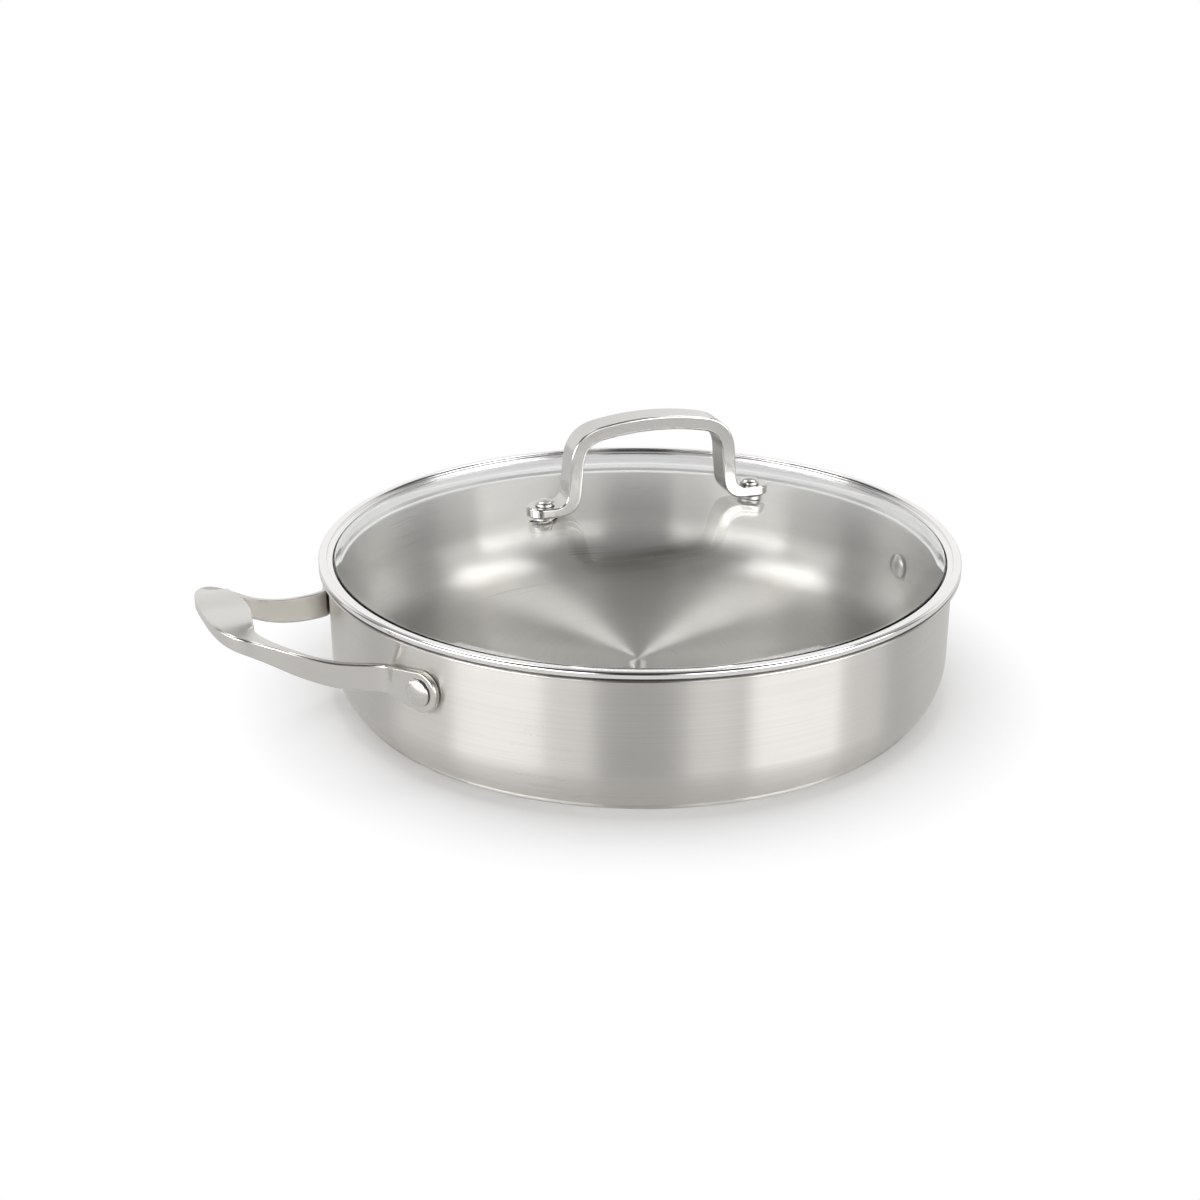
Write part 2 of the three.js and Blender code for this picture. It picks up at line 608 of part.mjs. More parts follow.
// The stack that clamps one foot to the glass, at a place along the lid handle's line.
function footStack(x) {
  const distance = Math.abs(x);
  const underRadius = DOME_RADIUS - GLASS_THICKNESS;
  const glassTop = domeHeight(DOME_RADIUS, distance);
  const glassUnder = domeHeight(underRadius, distance);
  const glassMiddle = (glassTop + glassUnder) / 2;
  const bore = BOLT_RADIUS + CLEARANCE;
  const sleeve = bore + GROMMET_WALL;
  const envelope = glassEnvelope(distance + UNDER_WASHER_RADIUS + FOOT_WASHER_RADIUS);
  const lowestGlass = domeHeight(underRadius, distance + UNDER_WASHER_RADIUS);
  const underBottom = lowestGlass - CLEARANCE - UNDER_WASHER_THICKNESS;
  const headSeat = FOOT_UNDERSIDE + FOOT_THICKNESS + CLEARANCE;
  const nutTop = underBottom - CLEARANCE;
  const bolt = turned([
    point(0, nutTop - NUT_BORE_DEPTH + CLEARANCE),
    point(BOLT_RADIUS, nutTop - NUT_BORE_DEPTH + CLEARANCE),
    point(BOLT_RADIUS, headSeat),
    ...domedHead(BOLT_HEAD_RADIUS, headSeat, BOLT_HEAD_HEIGHT),
  ], SMALL_STEPS);
  bolt.translate(x, 0, 0);
  const nut = turned([
    ...domedHead(NUT_RADIUS, nutTop - NUT_BORE_DEPTH, NUT_BORE_DEPTH - NUT_HEIGHT).reverse(),
    point(NUT_RADIUS, nutTop),
    point(bore, nutTop),
    point(bore, nutTop - NUT_BORE_DEPTH),
    point(0, nutTop - NUT_BORE_DEPTH),
  ], SMALL_STEPS);
  nut.translate(x, 0, 0);
  const footTop = FOOT_UNDERSIDE - CLEARANCE;
  const grommetBottom = domeHeight(underRadius, distance - sleeve);
  const grommetTop = domeHeight(DOME_RADIUS, distance + sleeve);
  return {
    bolt,
    nut,
    footWasher: cut(ringAt(x, FOOT_WASHER_RADIUS, bore, glassMiddle, footTop), envelope),
    underWasher: cut(ringAt(x, UNDER_WASHER_RADIUS, bore, underBottom, glassMiddle), envelope),
    grommet: ringAt(x, sleeve, bore, grommetBottom, grommetTop),
  };
}

function boltHole(x, radius) {
  const hole = cylinder(radius, SKIRT_BOTTOM, FOOT_UNDERSIDE + ARCH_THICKNESS + ARCH_CROWN_RISE);
  hole.translate(x, 0, 0);
  return hole;
}

function buildPan() {
  const pan = new THREE.Group();
  const places = handleRivetPlaces();
  const handleSeats = Object.values(places).map((place) => outOfWall(place.azimuth, place.height));
  const wallSeat = outOfWall(WALL_RIVET_AZIMUTH, WALL_RIVET_HEIGHT);
  const handleHoles = handleSeats.map((seat) => rivetHole().applyMatrix4(seat));
  const wallHole = rivetHole().applyMatrix4(wallSeat);
  addPiece(pan, 'pan_body', cut(turned(panProfile()), ...handleHoles, wallHole), steel);
  addPiece(pan, 'heat_core', turned(coreProfile()), aluminium);
  addPiece(pan, 'base_plate', turned(basePlateProfile()), steel);
  addPiece(pan, 'side_handle', cut(loopHandle(), ...handleHoles), steel);
  const padFace = PAN_OUTER_RADIUS + CLEARANCE + STRAP_THICKNESS;
  Object.entries(places).forEach(([end, place], which) => {
    const body = rivet(place.height, padFace);
    addPiece(pan, `side_handle_rivet_${end}`, body, polishedSteel).applyMatrix4(handleSeats[which]);
  });
  const wallRivet = rivet(WALL_RIVET_HEIGHT, PAN_OUTER_RADIUS);
  addPiece(pan, 'wall_rivet', wallRivet, polishedSteel).applyMatrix4(wallSeat);
  return pan;
}

function buildLid() {
  const lid = new THREE.Group();
  const turn = THREE.MathUtils.degToRad(LID_HANDLE_AZIMUTH);
  const halfSpacing = LID_BOLT_SPACING / 2;
  const feet = { left: LID_HANDLE_SHIFT - halfSpacing, right: LID_HANDLE_SHIFT + halfSpacing };
  const glassHoles = Object.values(feet).map((x) => boltHole(x, GLASS_HOLE_RADIUS).rotateZ(turn));
  addPiece(lid, 'lid_glass', cut(turned(glassProfile()), ...glassHoles), glass);
  addPiece(lid, 'lid_band', turned(bandProfile()), polishedSteel);
  addPiece(lid, 'lid_seal', turned(sealProfile()), silicone);
  const handle = new THREE.Group();
  handle.rotation.z = turn;
  lid.add(handle);
  const arch = archHandle();
  arch.translate(LID_HANDLE_SHIFT, 0, 0);
  const footHoles = Object.values(feet).map((x) => boltHole(x, BOLT_RADIUS + CLEARANCE));
  addPiece(handle, 'lid_handle', cut(arch, ...footHoles), steel);
  Object.entries(feet).forEach(([side, x]) => {
    const stack = footStack(x);
    addPiece(handle, `lid_bolt_${side}`, stack.bolt, polishedSteel);
    addPiece(handle, `lid_foot_washer_${side}`, stack.footWasher, polishedSteel);
    addPiece(handle, `lid_grommet_${side}`, stack.grommet, silicone);
    addPiece(handle, `lid_under_washer_${side}`, stack.underWasher, polishedSteel);
    addPiece(handle, `lid_cap_nut_${side}`, stack.nut, polishedSteel);
  });
  return lid;
}

const panWithLid = new THREE.Group();
panWithLid.add(buildPan(), buildLid());
export default panWithLid;
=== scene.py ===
"""A low pan with straight sides, one loop handle and a domed glass lid, on a pale studio floor.

Lengths are metres in the frame's own axes: +Z up along the pan's axis, with the table at zero.
"""

from __future__ import annotations

import logging
import math
from dataclasses import dataclass, replace
from enum import Enum
from functools import lru_cache
from typing import Sequence

import bmesh
import bpy
from mathutils import Matrix, Vector
from mathutils.geometry import interpolate_bezier

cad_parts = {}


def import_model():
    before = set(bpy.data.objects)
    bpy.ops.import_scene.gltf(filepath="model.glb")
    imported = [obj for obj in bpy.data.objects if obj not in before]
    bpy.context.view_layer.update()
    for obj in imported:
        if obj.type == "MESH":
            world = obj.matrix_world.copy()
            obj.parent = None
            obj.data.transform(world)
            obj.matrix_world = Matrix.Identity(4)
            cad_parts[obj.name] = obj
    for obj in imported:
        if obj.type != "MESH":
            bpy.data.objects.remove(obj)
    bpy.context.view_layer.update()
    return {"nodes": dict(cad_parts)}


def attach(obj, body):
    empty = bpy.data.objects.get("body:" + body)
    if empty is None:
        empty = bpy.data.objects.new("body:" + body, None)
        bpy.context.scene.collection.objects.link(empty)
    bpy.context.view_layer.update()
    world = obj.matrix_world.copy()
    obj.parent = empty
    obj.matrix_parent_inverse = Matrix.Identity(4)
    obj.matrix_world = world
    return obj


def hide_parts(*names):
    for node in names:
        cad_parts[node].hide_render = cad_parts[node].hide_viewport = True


LOG = logging.getLogger("pan_with_lid")

MM = 0.001
Point = tuple[float, float]
Colour = tuple[float, float, float]

ROUND_SEGMENTS = 256
SMALL_SEGMENTS = 64
MERGE_DISTANCE = 1e-7
SMOOTH_DEGREES = 38.0
CORNER_STEPS = 6
DOME_STEPS = 12
BEAD_SIDES = 24
# Angles of the sections of a half-round end from its tip, in degrees
ROUND_END = (89, 86, 82, 77, 71, 64, 56, 47, 37, 26, 14)
# Largest rounding of a bar as a share of its half thickness, and the flat strip kept beside it
FULLEST_ROUNDING = 0.9
FLAT_STRIP = 0.3
LEAST_HEIGHT = 0.01 * MM
# Ranges of noise that are spread from none to full
LINE_CONTRAST = (0.32, 0.68)
HAZE_CONTRAST = (0.35, 0.65)
MOTTLE_CONTRAST = (0.3, 0.7)
LINE_HEIGHT = 0.1 * MM
# Turns the gloss so that it stretches across the lines
QUARTER_TURN = 0.25
# Places of the Mix node's sockets when it mixes colours
MIX_FACTOR, MIX_FIRST, MIX_SECOND, MIX_RESULT = 0, 6, 7, 2


# Outlines and meshes


def arc(centre: Point, radius: float, start: float, end: float, steps: int = 10) -> list[Point]:
    """Gives points on an arc of a profile, both ends included.

    Args:
        centre: Distance from the axis, and height, of the arc's centre.
        radius: The arc's radius.
        start: Angle of the first point, in degrees from straight out, upwards.
        end: Angle of the last point.
        steps: How many chords the arc has.

    Returns:
        The arc's points as distances from the axis and heights.
    """
    angles = [math.radians(start + (end - start) * step / steps) for step in range(steps + 1)]
    return [(centre[0] + radius * math.cos(a), centre[1] + radius * math.sin(a)) for a in angles]


def bearing(centre: Point, target: Point) -> float:
    """Gives the angle of a profile point about a centre, in degrees."""
    return math.degrees(math.atan2(target[1] - centre[1], target[0] - centre[0]))


def reach_at(centre: Point, radius: float, height: float) -> float:
    """Gives the distance from the axis where an arc's outer side crosses a height."""
    return centre[0] + math.sqrt(radius**2 - (height - centre[1]) ** 2)


def finished(name: str, shape: bmesh.types.BMesh) -> bpy.types.Object:
    """Turns a bmesh into an object at the origin, smooth but for its sharp edges.

    Args:
        name: The piece's name.
        shape: The bmesh, which is freed.

    Returns:
        The new object, linked into the scene.
    """
    bmesh.ops.recalc_face_normals(shape, faces=shape.faces[:])
    mesh = bpy.data.meshes.new(name)
    shape.to_mesh(mesh)
    shape.free()
    mesh.shade_smooth()
    mesh.set_sharp_from_angle(angle=math.radians(SMOOTH_DEGREES))
    piece = bpy.data.objects.new(name, mesh)
    bpy.context.scene.collection.objects.link(piece)
    return piece


def spun(profile: Sequence[Point], segments: int = ROUND_SEGMENTS) -> bmesh.types.BMesh:
    """Spins a profile about Z.

    Args:
        profile: Points that end on the axis at both ends, or that form a ring's closed outline.
        segments: How many steps a full turn has.

    Returns:
        The closed shape.
    """
    shape = bmesh.new()
    verts = [shape.verts.new((radius, 0.0, height)) for radius, height in profile]
    edges = [shape.edges.new(pair) for pair in zip(verts, verts[1:])]
    if min(radius for radius, _ in profile) > 0.0:
        edges.append(shape.edges.new((verts[-1], verts[0])))
    bmesh.ops.spin(
        shape,
        geom=verts + edges,
        cent=(0, 0, 0),
        axis=(0, 0, 1),
        angle=math.tau,
        steps=segments,
        use_merge=True,
    )
    bmesh.ops.remove_doubles(shape, verts=shape.verts[:], dist=MERGE_DISTANCE)
    return shape


def turned(
    name: str, profile: Sequence[Point], segments: int = ROUND_SEGMENTS, place: Matrix | None = None
) -> bpy.types.Object:
    """Makes a turned piece, and puts it in place.

    Args:
        name: The piece's name.
        profile: See spun.
        segments: How many steps a full turn has.
        place: Where the piece goes, if not on the pan's axis.

    Returns:
        The new object.
    """
    shape = spun(profile, segments)
    if place is not None:
        bmesh.ops.transform(shape, matrix=place, verts=shape.verts[:])
    return finished(name, shape)


def rounded_section(
    half_up: float, half_across: float, rounding: float, past: float = 0.0
) -> list[Point]:
    """Gives the section of a flat bar with rounded edges.

    A narrow strip beside each rounding keeps the shading of the flat sides flat.

    Args:
        half_up: Half of the bar's height.
        half_across: Half of its thickness.
        rounding: Radius of its edges.
        past: How far the section lies past the centre of a half-round end.

    Returns:
        Points round the section, as places across and up.
    """
    smaller = min(half_up, half_across)
    rounding = min(rounding, FULLEST_ROUNDING * smaller)
    inset = rounding + min(FLAT_STRIP * rounding, 0.5 * (smaller - rounding))
    corner = [
        (half_across, half_up - inset),
        *arc((half_across - rounding, half_up - rounding), rounding, 0, 90, CORNER_STEPS),
        (half_across - inset, half_up),
    ]
    quarter = []
    for step, (across, level) in enumerate(corner, start=1):
        height = math.sqrt(max(level**2 - past**2, (LEAST_HEIGHT * step) ** 2))
        quarter.append((across, height))
    upper = quarter + [(-x, y) for x, y in reversed(quarter)]
    return upper + [(-x, -y) for x, y in upper]


@dataclass(frozen=True)
class Station:
    """One section of a bar: its place, its two directions and its outline."""

    centre: Vector
    across: Vector
    up: Vector
    outline: Sequence[Point]

    def ring(self) -> list[Vector]:
        """Gives the section's points in space."""
        return [self.centre + self.across * x + self.up * y for x, y in self.outline]


def lofted(stations: Sequence[Station]) -> bmesh.types.BMesh:
    """Bridges a row of sections into one closed bar, with a UV map along and around it.

    Args:
        stations: The sections, from one end to the other.

    Returns:
        The closed shape. Its UV map is in metres.
    """
    shape = bmesh.new()
    along = shape.verts.layers.float.new("along")
    around = shape.verts.layers.float.new("around")
    girth = shape.verts.layers.float.new("girth")
    loops = []
    run = 0.0
    for number, station in enumerate(stations):
        if number:
            run += (station.centre - stations[number - 1].centre).length
        verts = [shape.verts.new(place) for place in station.ring()]
        lengths = [(b.co - a.co).length for a, b in zip(verts, verts[1:] + verts[:1])]
        for index, vert in enumerate(verts):
            vert[along] = run
            vert[around] = sum(lengths[:index])
            vert[girth] = sum(lengths)
        loops.append([shape.edges.new(pair) for pair in zip(verts, verts[1:] + verts[:1])])
    for first, second in zip(loops, loops[1:]):
        bmesh.ops.bridge_loops(shape, edges=first + second)
    for end in (loops[0], loops[-1]):
        bmesh.ops.contextual_create(shape, geom=end)
    strap = shape.loops.layers.uv.new("strap")
    for face in shape.faces:
        crosses_seam = max(v[around] for v in face.verts) > 0.5 * max(v[girth] for v in face.verts)
        for corner in face.loops:
            vert = corner.vert
            at_start = crosses_seam and vert[around] < 1e-9
            corner[strap].uv = (vert[along], vert[girth] if at_start else vert[around])
    return shape


def through(points: Sequence[Vector], steps: int, even: bool) -> list[Vector]:
    """Runs a smooth curve through points.

    Args:
        points: What the curve passes through.
        steps: How many places it has from one point to the next.
        even: True to space its knots evenly, False to space them by the root of their distance.

    Returns:
        Places on the curve, both ends included.
    """
    row = [2 * points[0] - points[1], *points, 2 * points[-1] - points[-2]]
    places = []
    for p0, p1, p2, p3 in zip(row, row[1:], row[2:], row[3:]):
        legs = (p1 - p0, p2 - p1, p3 - p2)
        g0, g1, g2 = (1.0 if even else max(leg.length**0.5, 1e-6) for leg in legs)
        leave = (legs[0] / g0 - (p2 - p0) / (g0 + g1) + legs[1] / g1) * g1
        arrive = (legs[1] / g1 - (p3 - p1) / (g1 + g2) + legs[2] / g2) * g1
        for step in range(steps):
            t = step / steps
            places.append(
                p1 * (2 * t**3 - 3 * t**2 + 1)
                + leave * (t**3 - 2 * t**2 + t)
                + p2 * (3 * t**2 - 2 * t**3)
                + arrive * (t**3 - t**2)
            )
    return [*places, points[-1]]


# Finishes


@dataclass(frozen=True)
class Board:
    """Adds nodes to one node tree and joins them."""

    tree: bpy.types.NodeTree

    def add(self, kind: str, **settings: object) -> bpy.types.Node:
        """Adds a node.

        Args:
            kind: The node's type, without its ShaderNode prefix.
            **settings: Properties of the node.

        Returns:
            The new node.
        """
        prefix = "" if kind.startswith("Node") else "ShaderNode"
        node = self.tree.nodes.new(prefix + kind)
        for name, value in settings.items():
            setattr(node, name, value)
        return node

    def join(self, source: bpy.types.NodeSocket, target: bpy.types.NodeSocket) -> None:
        """Links an output to an input."""
        self.tree.links.new(source, target)

    def feed(
        self, value: bpy.types.NodeSocket | float | Colour, target: bpy.types.NodeSocket
    ) -> None:
        """Links an output to an input, or sets the input.

        Args:
            value: An output, a number or a colour.
            target: The input.
        """
        if isinstance(value, bpy.types.NodeSocket):
            self.join(value, target)
        else:
            target.default_value = (*value, 1.0) if isinstance(value, tuple) else value

    def maths(
        self,
        operation: str,
        first: bpy.types.NodeSocket | float,
        second: bpy.types.NodeSocket | float = 0.0,
    ) -> bpy.types.NodeSocket:
        """Adds a Math node.

        Args:
            operation: The node's operation.
            first: A number or an output.
            second: The same, for the second input.

        Returns:
            The node's output.
        """
        node = self.add("Math", operation=operation)
        self.feed(first, node.inputs[0])
        self.feed(second, node.inputs[1])
        return node.outputs[0]

    def flat_length(self, parts: bpy.types.Node) -> bpy.types.NodeSocket:
        """Gives the length of a vector's X and Y, from the node that separates them."""
        squares = [self.maths("POWER", parts.outputs[axis], 2.0) for axis in "XY"]
        return self.maths("SQRT", self.maths("ADD", *squares))

    def noise(
        self,
        place: bpy.types.NodeSocket,
        scale: float,
        detail: float = 2.0,
        roughness: float = 0.5,
    ) -> bpy.types.NodeSocket:
        """Adds a noise texture.

        Args:
            place: Where the noise is read.
            scale: Its scale.
            detail: How many finer layers it has.
            roughness: How strong these are.

        Returns:
            The noise.
        """
        node = self.add("TexNoise")
        self.join(place, node.inputs["Vector"])
        node.inputs["Scale"].default_value = scale
        node.inputs["Detail"].default_value = detail
        node.inputs["Roughness"].default_value = roughness
        return node.outputs[0]

    def spread(
        self, value: bpy.types.NodeSocket, low: float, high: float, to: Point = (0.0, 1.0)
    ) -> bpy.types.NodeSocket:
        """Maps a range of values onto another, and holds it there.

        Args:
            value: The output to map.
            low: Value that becomes the first of the new range.
            high: Value that becomes the second.
            to: The new range.

        Returns:
            The mapped output.
        """
        node = self.add("MapRange", clamp=True)
        self.join(value, node.inputs["Value"])
        for socket, number in zip(("From Min", "From Max", "To Min", "To Max"), (low, high, *to)):
            node.inputs[socket].default_value = number
        return node.outputs["Result"]

    def tint(
        self,
        factor: bpy.types.NodeSocket,
        first: bpy.types.NodeSocket | Colour,
        second: bpy.types.NodeSocket | Colour,
    ) -> bpy.types.NodeSocket:
        """Mixes two colours.

        Args:
            factor: How much of the second colour there is.
            first: The first colour, or an output that gives it.
            second: The same, for the second colour.

        Returns:
            The mixed colour.
        """
        node = self.add("Mix", data_type="RGBA")
        self.join(factor, node.inputs[MIX_FACTOR])
        self.feed(first, node.inputs[MIX_FIRST])
        self.feed(second, node.inputs[MIX_SECOND])
        return node.outputs[MIX_RESULT]

    def blend(
        self,
        factor: bpy.types.NodeSocket,
        first: bpy.types.Node,
        second: bpy.types.Node,
        output: bpy.types.Node,
    ) -> None:
        """Mixes two shaders into an output's surface.

        Args:
            factor: How much of the second shader there is.
            first: The first shader.
            second: The second one.
            output: The material's or the world's output.
        """
        mix = self.add("MixShader")
        sources = (factor, first.outputs[0], second.outputs[0])
        for source, socket in zip(sources, mix.inputs):
            self.join(source, socket)
        self.join(mix.outputs[0], output.inputs["Surface"])


def new_material(name: str) -> tuple[bpy.types.Material, Board, bpy.types.Node]:
    """Starts a material.

    Args:
        name: The material's name.

    Returns:
        The material, its nodes and its shader.
    """
    material = bpy.data.materials.new(name)
    material.use_nodes = True
    return material, Board(material.node_tree), material.node_tree.nodes["Principled BSDF"]


@lru_cache(maxsize=None)
def brush_lines() -> bpy.types.NodeTree:
    """Builds the shared group of fine brush lines.

    Returns:
        A group that takes a place, the distance across the lines, their fineness per metre and how
        often they break per metre, and gives the lines and a soft haze, both from 0 to 1.
    """
    tree = bpy.data.node_groups.new("brush_lines", "ShaderNodeTree")
    for name, kind in (
        ("Place", "NodeSocketVector"),
        ("Across", "NodeSocketFloat"),
        ("Fineness", "NodeSocketFloat"),
        ("Breaks", "NodeSocketFloat"),
    ):
        tree.interface.new_socket(name, in_out="INPUT", socket_type=kind)
    for name in ("Lines", "Haze"):
        tree.interface.new_socket(name, in_out="OUTPUT", socket_type="NodeSocketFloat")
    board = Board(tree)
    given = board.add("NodeGroupInput")
    result = board.add("NodeGroupOutput")
    stretch = board.add("VectorMath", operation="SCALE")
    board.join(given.outputs["Place"], stretch.inputs[0])
    board.join(given.outputs["Breaks"], stretch.inputs["Scale"])
    parts = board.add("SeparateXYZ")
    board.join(stretch.outputs[0], parts.inputs[0])
    streaks = board.add("CombineXYZ")
    board.join(parts.outputs["X"], streaks.inputs["X"])
    board.join(parts.outputs["Y"], streaks.inputs["Y"])
    across = board.maths("MULTIPLY", given.outputs["Across"], given.outputs["Fineness"])
    board.join(across, streaks.inputs["Z"])
    lines = board.noise(streaks.outputs[0], 1.0, detail=3.0, roughness=0.65)
    haze = board.noise(given.outputs["Place"], 17.0, detail=3.0)
    board.join(board.spread(lines, *LINE_CONTRAST), result.inputs["Lines"])
    board.join(board.spread(haze, *HAZE_CONTRAST), result.inputs["Haze"])
    return tree


class Brushing(Enum):
    """Which way the brush lines of a steel piece run."""

    AROUND = "around the axis"
    ALONG = "along the strap"


@dataclass(frozen=True)
class Steel:
    """Stainless steel with brush lines, from satin to nearly polished."""

    name: str
    brushing: Brushing
    colour: Colour = (0.68, 0.66, 0.628)
    shade: float = 0.93
    roughness: float = 0.34
    roughness_swing: float = 0.07
    stretch: float = 0.85
    fineness: float = 1500.0
    breaks: float = 9.0
    line_depth: float = 0.012

    def material(self) -> bpy.types.Material:
        """Builds the material, or gives the one built before."""
        return steel_material(self)


@lru_cache(maxsize=None)
def steel_material(finish: Steel) -> bpy.types.Material:
    """Builds a brushed steel.

    Args:
        finish: Its colour, gloss and lines.

    Returns:
        The new material.
    """
    material, board, shader = new_material(finish.name)
    place = board.add("TexCoord")
    lines = board.add("Group", node_tree=brush_lines())
    lines.inputs["Fineness"].default_value = finish.fineness
    lines.inputs["Breaks"].default_value = finish.breaks
    parts = board.add("SeparateXYZ")
    grain = board.add("Tangent")
    if finish.brushing is Brushing.AROUND:
        board.join(place.outputs["Object"], parts.inputs[0])
        across = board.maths("ADD", board.flat_length(parts), parts.outputs["Z"])
        board.join(place.outputs["Object"], lines.inputs["Place"])
        grain.direction_type = "RADIAL"
        grain.axis = "Z"
    else:
        board.join(place.outputs["UV"], parts.inputs[0])
        across = parts.outputs["Y"]
        length = board.add("CombineXYZ")
        board.join(parts.outputs["X"], length.inputs["X"])
        board.join(length.outputs[0], lines.inputs["Place"])
        grain.direction_type = "UV_MAP"
        grain.uv_map = "strap"
    board.join(across, lines.inputs["Across"])
    board.join(grain.outputs[0], shader.inputs["Tangent"])
    line = lines.outputs["Lines"]
    darker = tuple(channel * finish.shade for channel in finish.colour)
    board.join(board.tint(line, darker, finish.colour), shader.inputs["Base Color"])
    mixed = board.maths("ADD", line, lines.outputs["Haze"])
    swing = finish.roughness_swing
    ends = (finish.roughness - swing, finish.roughness + swing)
    board.join(board.spread(mixed, 0.0, 2.0, ends), shader.inputs["Roughness"])
    bump = board.add("Bump")
    bump.inputs["Strength"].default_value = finish.line_depth
    bump.inputs["Distance"].default_value = LINE_HEIGHT
    board.join(line, bump.inputs["Height"])
    board.join(bump.outputs[0], shader.inputs["Normal"])
    shader.inputs["Metallic"].default_value = 1.0
    shader.inputs["Anisotropic"].default_value = finish.stretch
    shader.inputs["Anisotropic Rotation"].default_value = QUARTER_TURN
    return material


@dataclass(frozen=True)
class ClearGlass:
    """Clear toughened glass with a faint green cast."""

    name: str = "clear_glass"
    colour: Colour = (0.985, 0.992, 0.988)
    refraction: float = 1.4

    def material(self) -> bpy.types.Material:
        """Builds the glass, which lets lamp light through to what it covers.

        Returns:
            The new material.
        """
        material, board, shader = new_material(self.name)
        shader.inputs["Base Color"].default_value = (*self.colour, 1.0)
        shader.inputs["IOR"].default_value = self.refraction
        shader.inputs["Transmission Weight"].default_value = 1.0
        shader.inputs["Roughness"].default_value = 0.0
        through_glass = board.add("BsdfTransparent")
        through_glass.inputs["Color"].default_value = (*self.colour, 1.0)
        shadow = board.add("LightPath").outputs["Is Shadow Ray"]
        board.blend(shadow, shader, through_glass, material.node_tree.nodes["Material Output"])
        return material


@dataclass(frozen=True)
class Silicone:
    """Pale matt silicone with a soft mottle."""

    name: str = "silicone"
    colour: Colour = (0.80, 0.80, 0.79)
    shade: Colour = (0.72, 0.72, 0.71)
    roughness: Point = (0.45, 0.6)
    mottle_scale: float = 160.0

    def material(self) -> bpy.types.Material:
        """Builds the silicone.

        Returns:
            The new material.
        """
        material, board, shader = new_material(self.name)
        mottle = board.noise(board.add("TexCoord").outputs["Object"], self.mottle_scale)
        board.join(board.tint(mottle, self.shade, self.colour), shader.inputs["Base Color"])
        roughness = board.spread(mottle, *MOTTLE_CONTRAST, self.roughness)
        board.join(roughness, shader.inputs["Roughness"])
        return material


SATIN_PAN = Steel(
    "satin_steel_pan",
    Brushing.AROUND,
    roughness=0.3,
    roughness_swing=0.03,
    stretch=1.0,
    line_depth=0.004,
)
SATIN_STRAP = Steel(
    "satin_steel_strap",
    Brushing.ALONG,
    shade=0.96,
    roughness=0.24,
    roughness_swing=0.04,
    stretch=0.3,
    fineness=2200.0,
    breaks=25.0,
)
# The arch's steel is a darker grey than the strap's: painted shade standing in for the darker
# surroundings that its faces reflect. It is also smoother.
SATIN_ARCH_SHADED = replace(
    SATIN_STRAP,
    name="satin_steel_arch_shaded",
    colour=(0.63, 0.617, 0.595),
    roughness=0.16,
    roughness_swing=0.02,
)
POLISHED = Steel(
    "polished_steel",
    Brushing.AROUND,
    colour=(0.88, 0.87, 0.86),
    shade=0.96,
    roughness=0.1,
    roughness_swing=0.02,
    stretch=0.0,
    line_depth=0.004,
)
RIVET = Steel("satin_rivet", Brushing.AROUND, roughness=0.24, stretch=0.0, breaks=60.0)
BOLT = replace(RIVET, name="satin_bolt", roughness=0.26)
CORE = Steel(
    "core_aluminium",
    Brushing.AROUND,
    colour=(0.66, 0.665, 0.67),
    roughness=0.45,
    stretch=0.4,
    fineness=900.0,
)


class Slot(Enum):
    """The record's material slots."""

    SATIN = "satin_steel"
    POLISHED = "polished_steel"
    CORE = "core_aluminium"
    GLASS = "clear_glass"
    SILICONE = "silicone"


def dress(
    piece: bpy.types.Object,
    material: bpy.types.Material,
    body: str,
    slot: Slot,
    *nodes: str,
) -> None:
    """Gives a piece its material, its body and the nodes that it stands for.

    Args:
        piece: The finished piece.
        material: Its material.
        body: The body that it moves with.
        slot: The record's slot for its finish; not used.
        *nodes: The nodes that it replaces.
    """
    piece.data.materials.clear()
    piece.data.materials.append(material)
    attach(piece, body)
    if nodes:
        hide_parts(*nodes)
    LOG.info("%s: %d faces, rides on %s", piece.name, len(piece.data.polygons), body)


# The pan


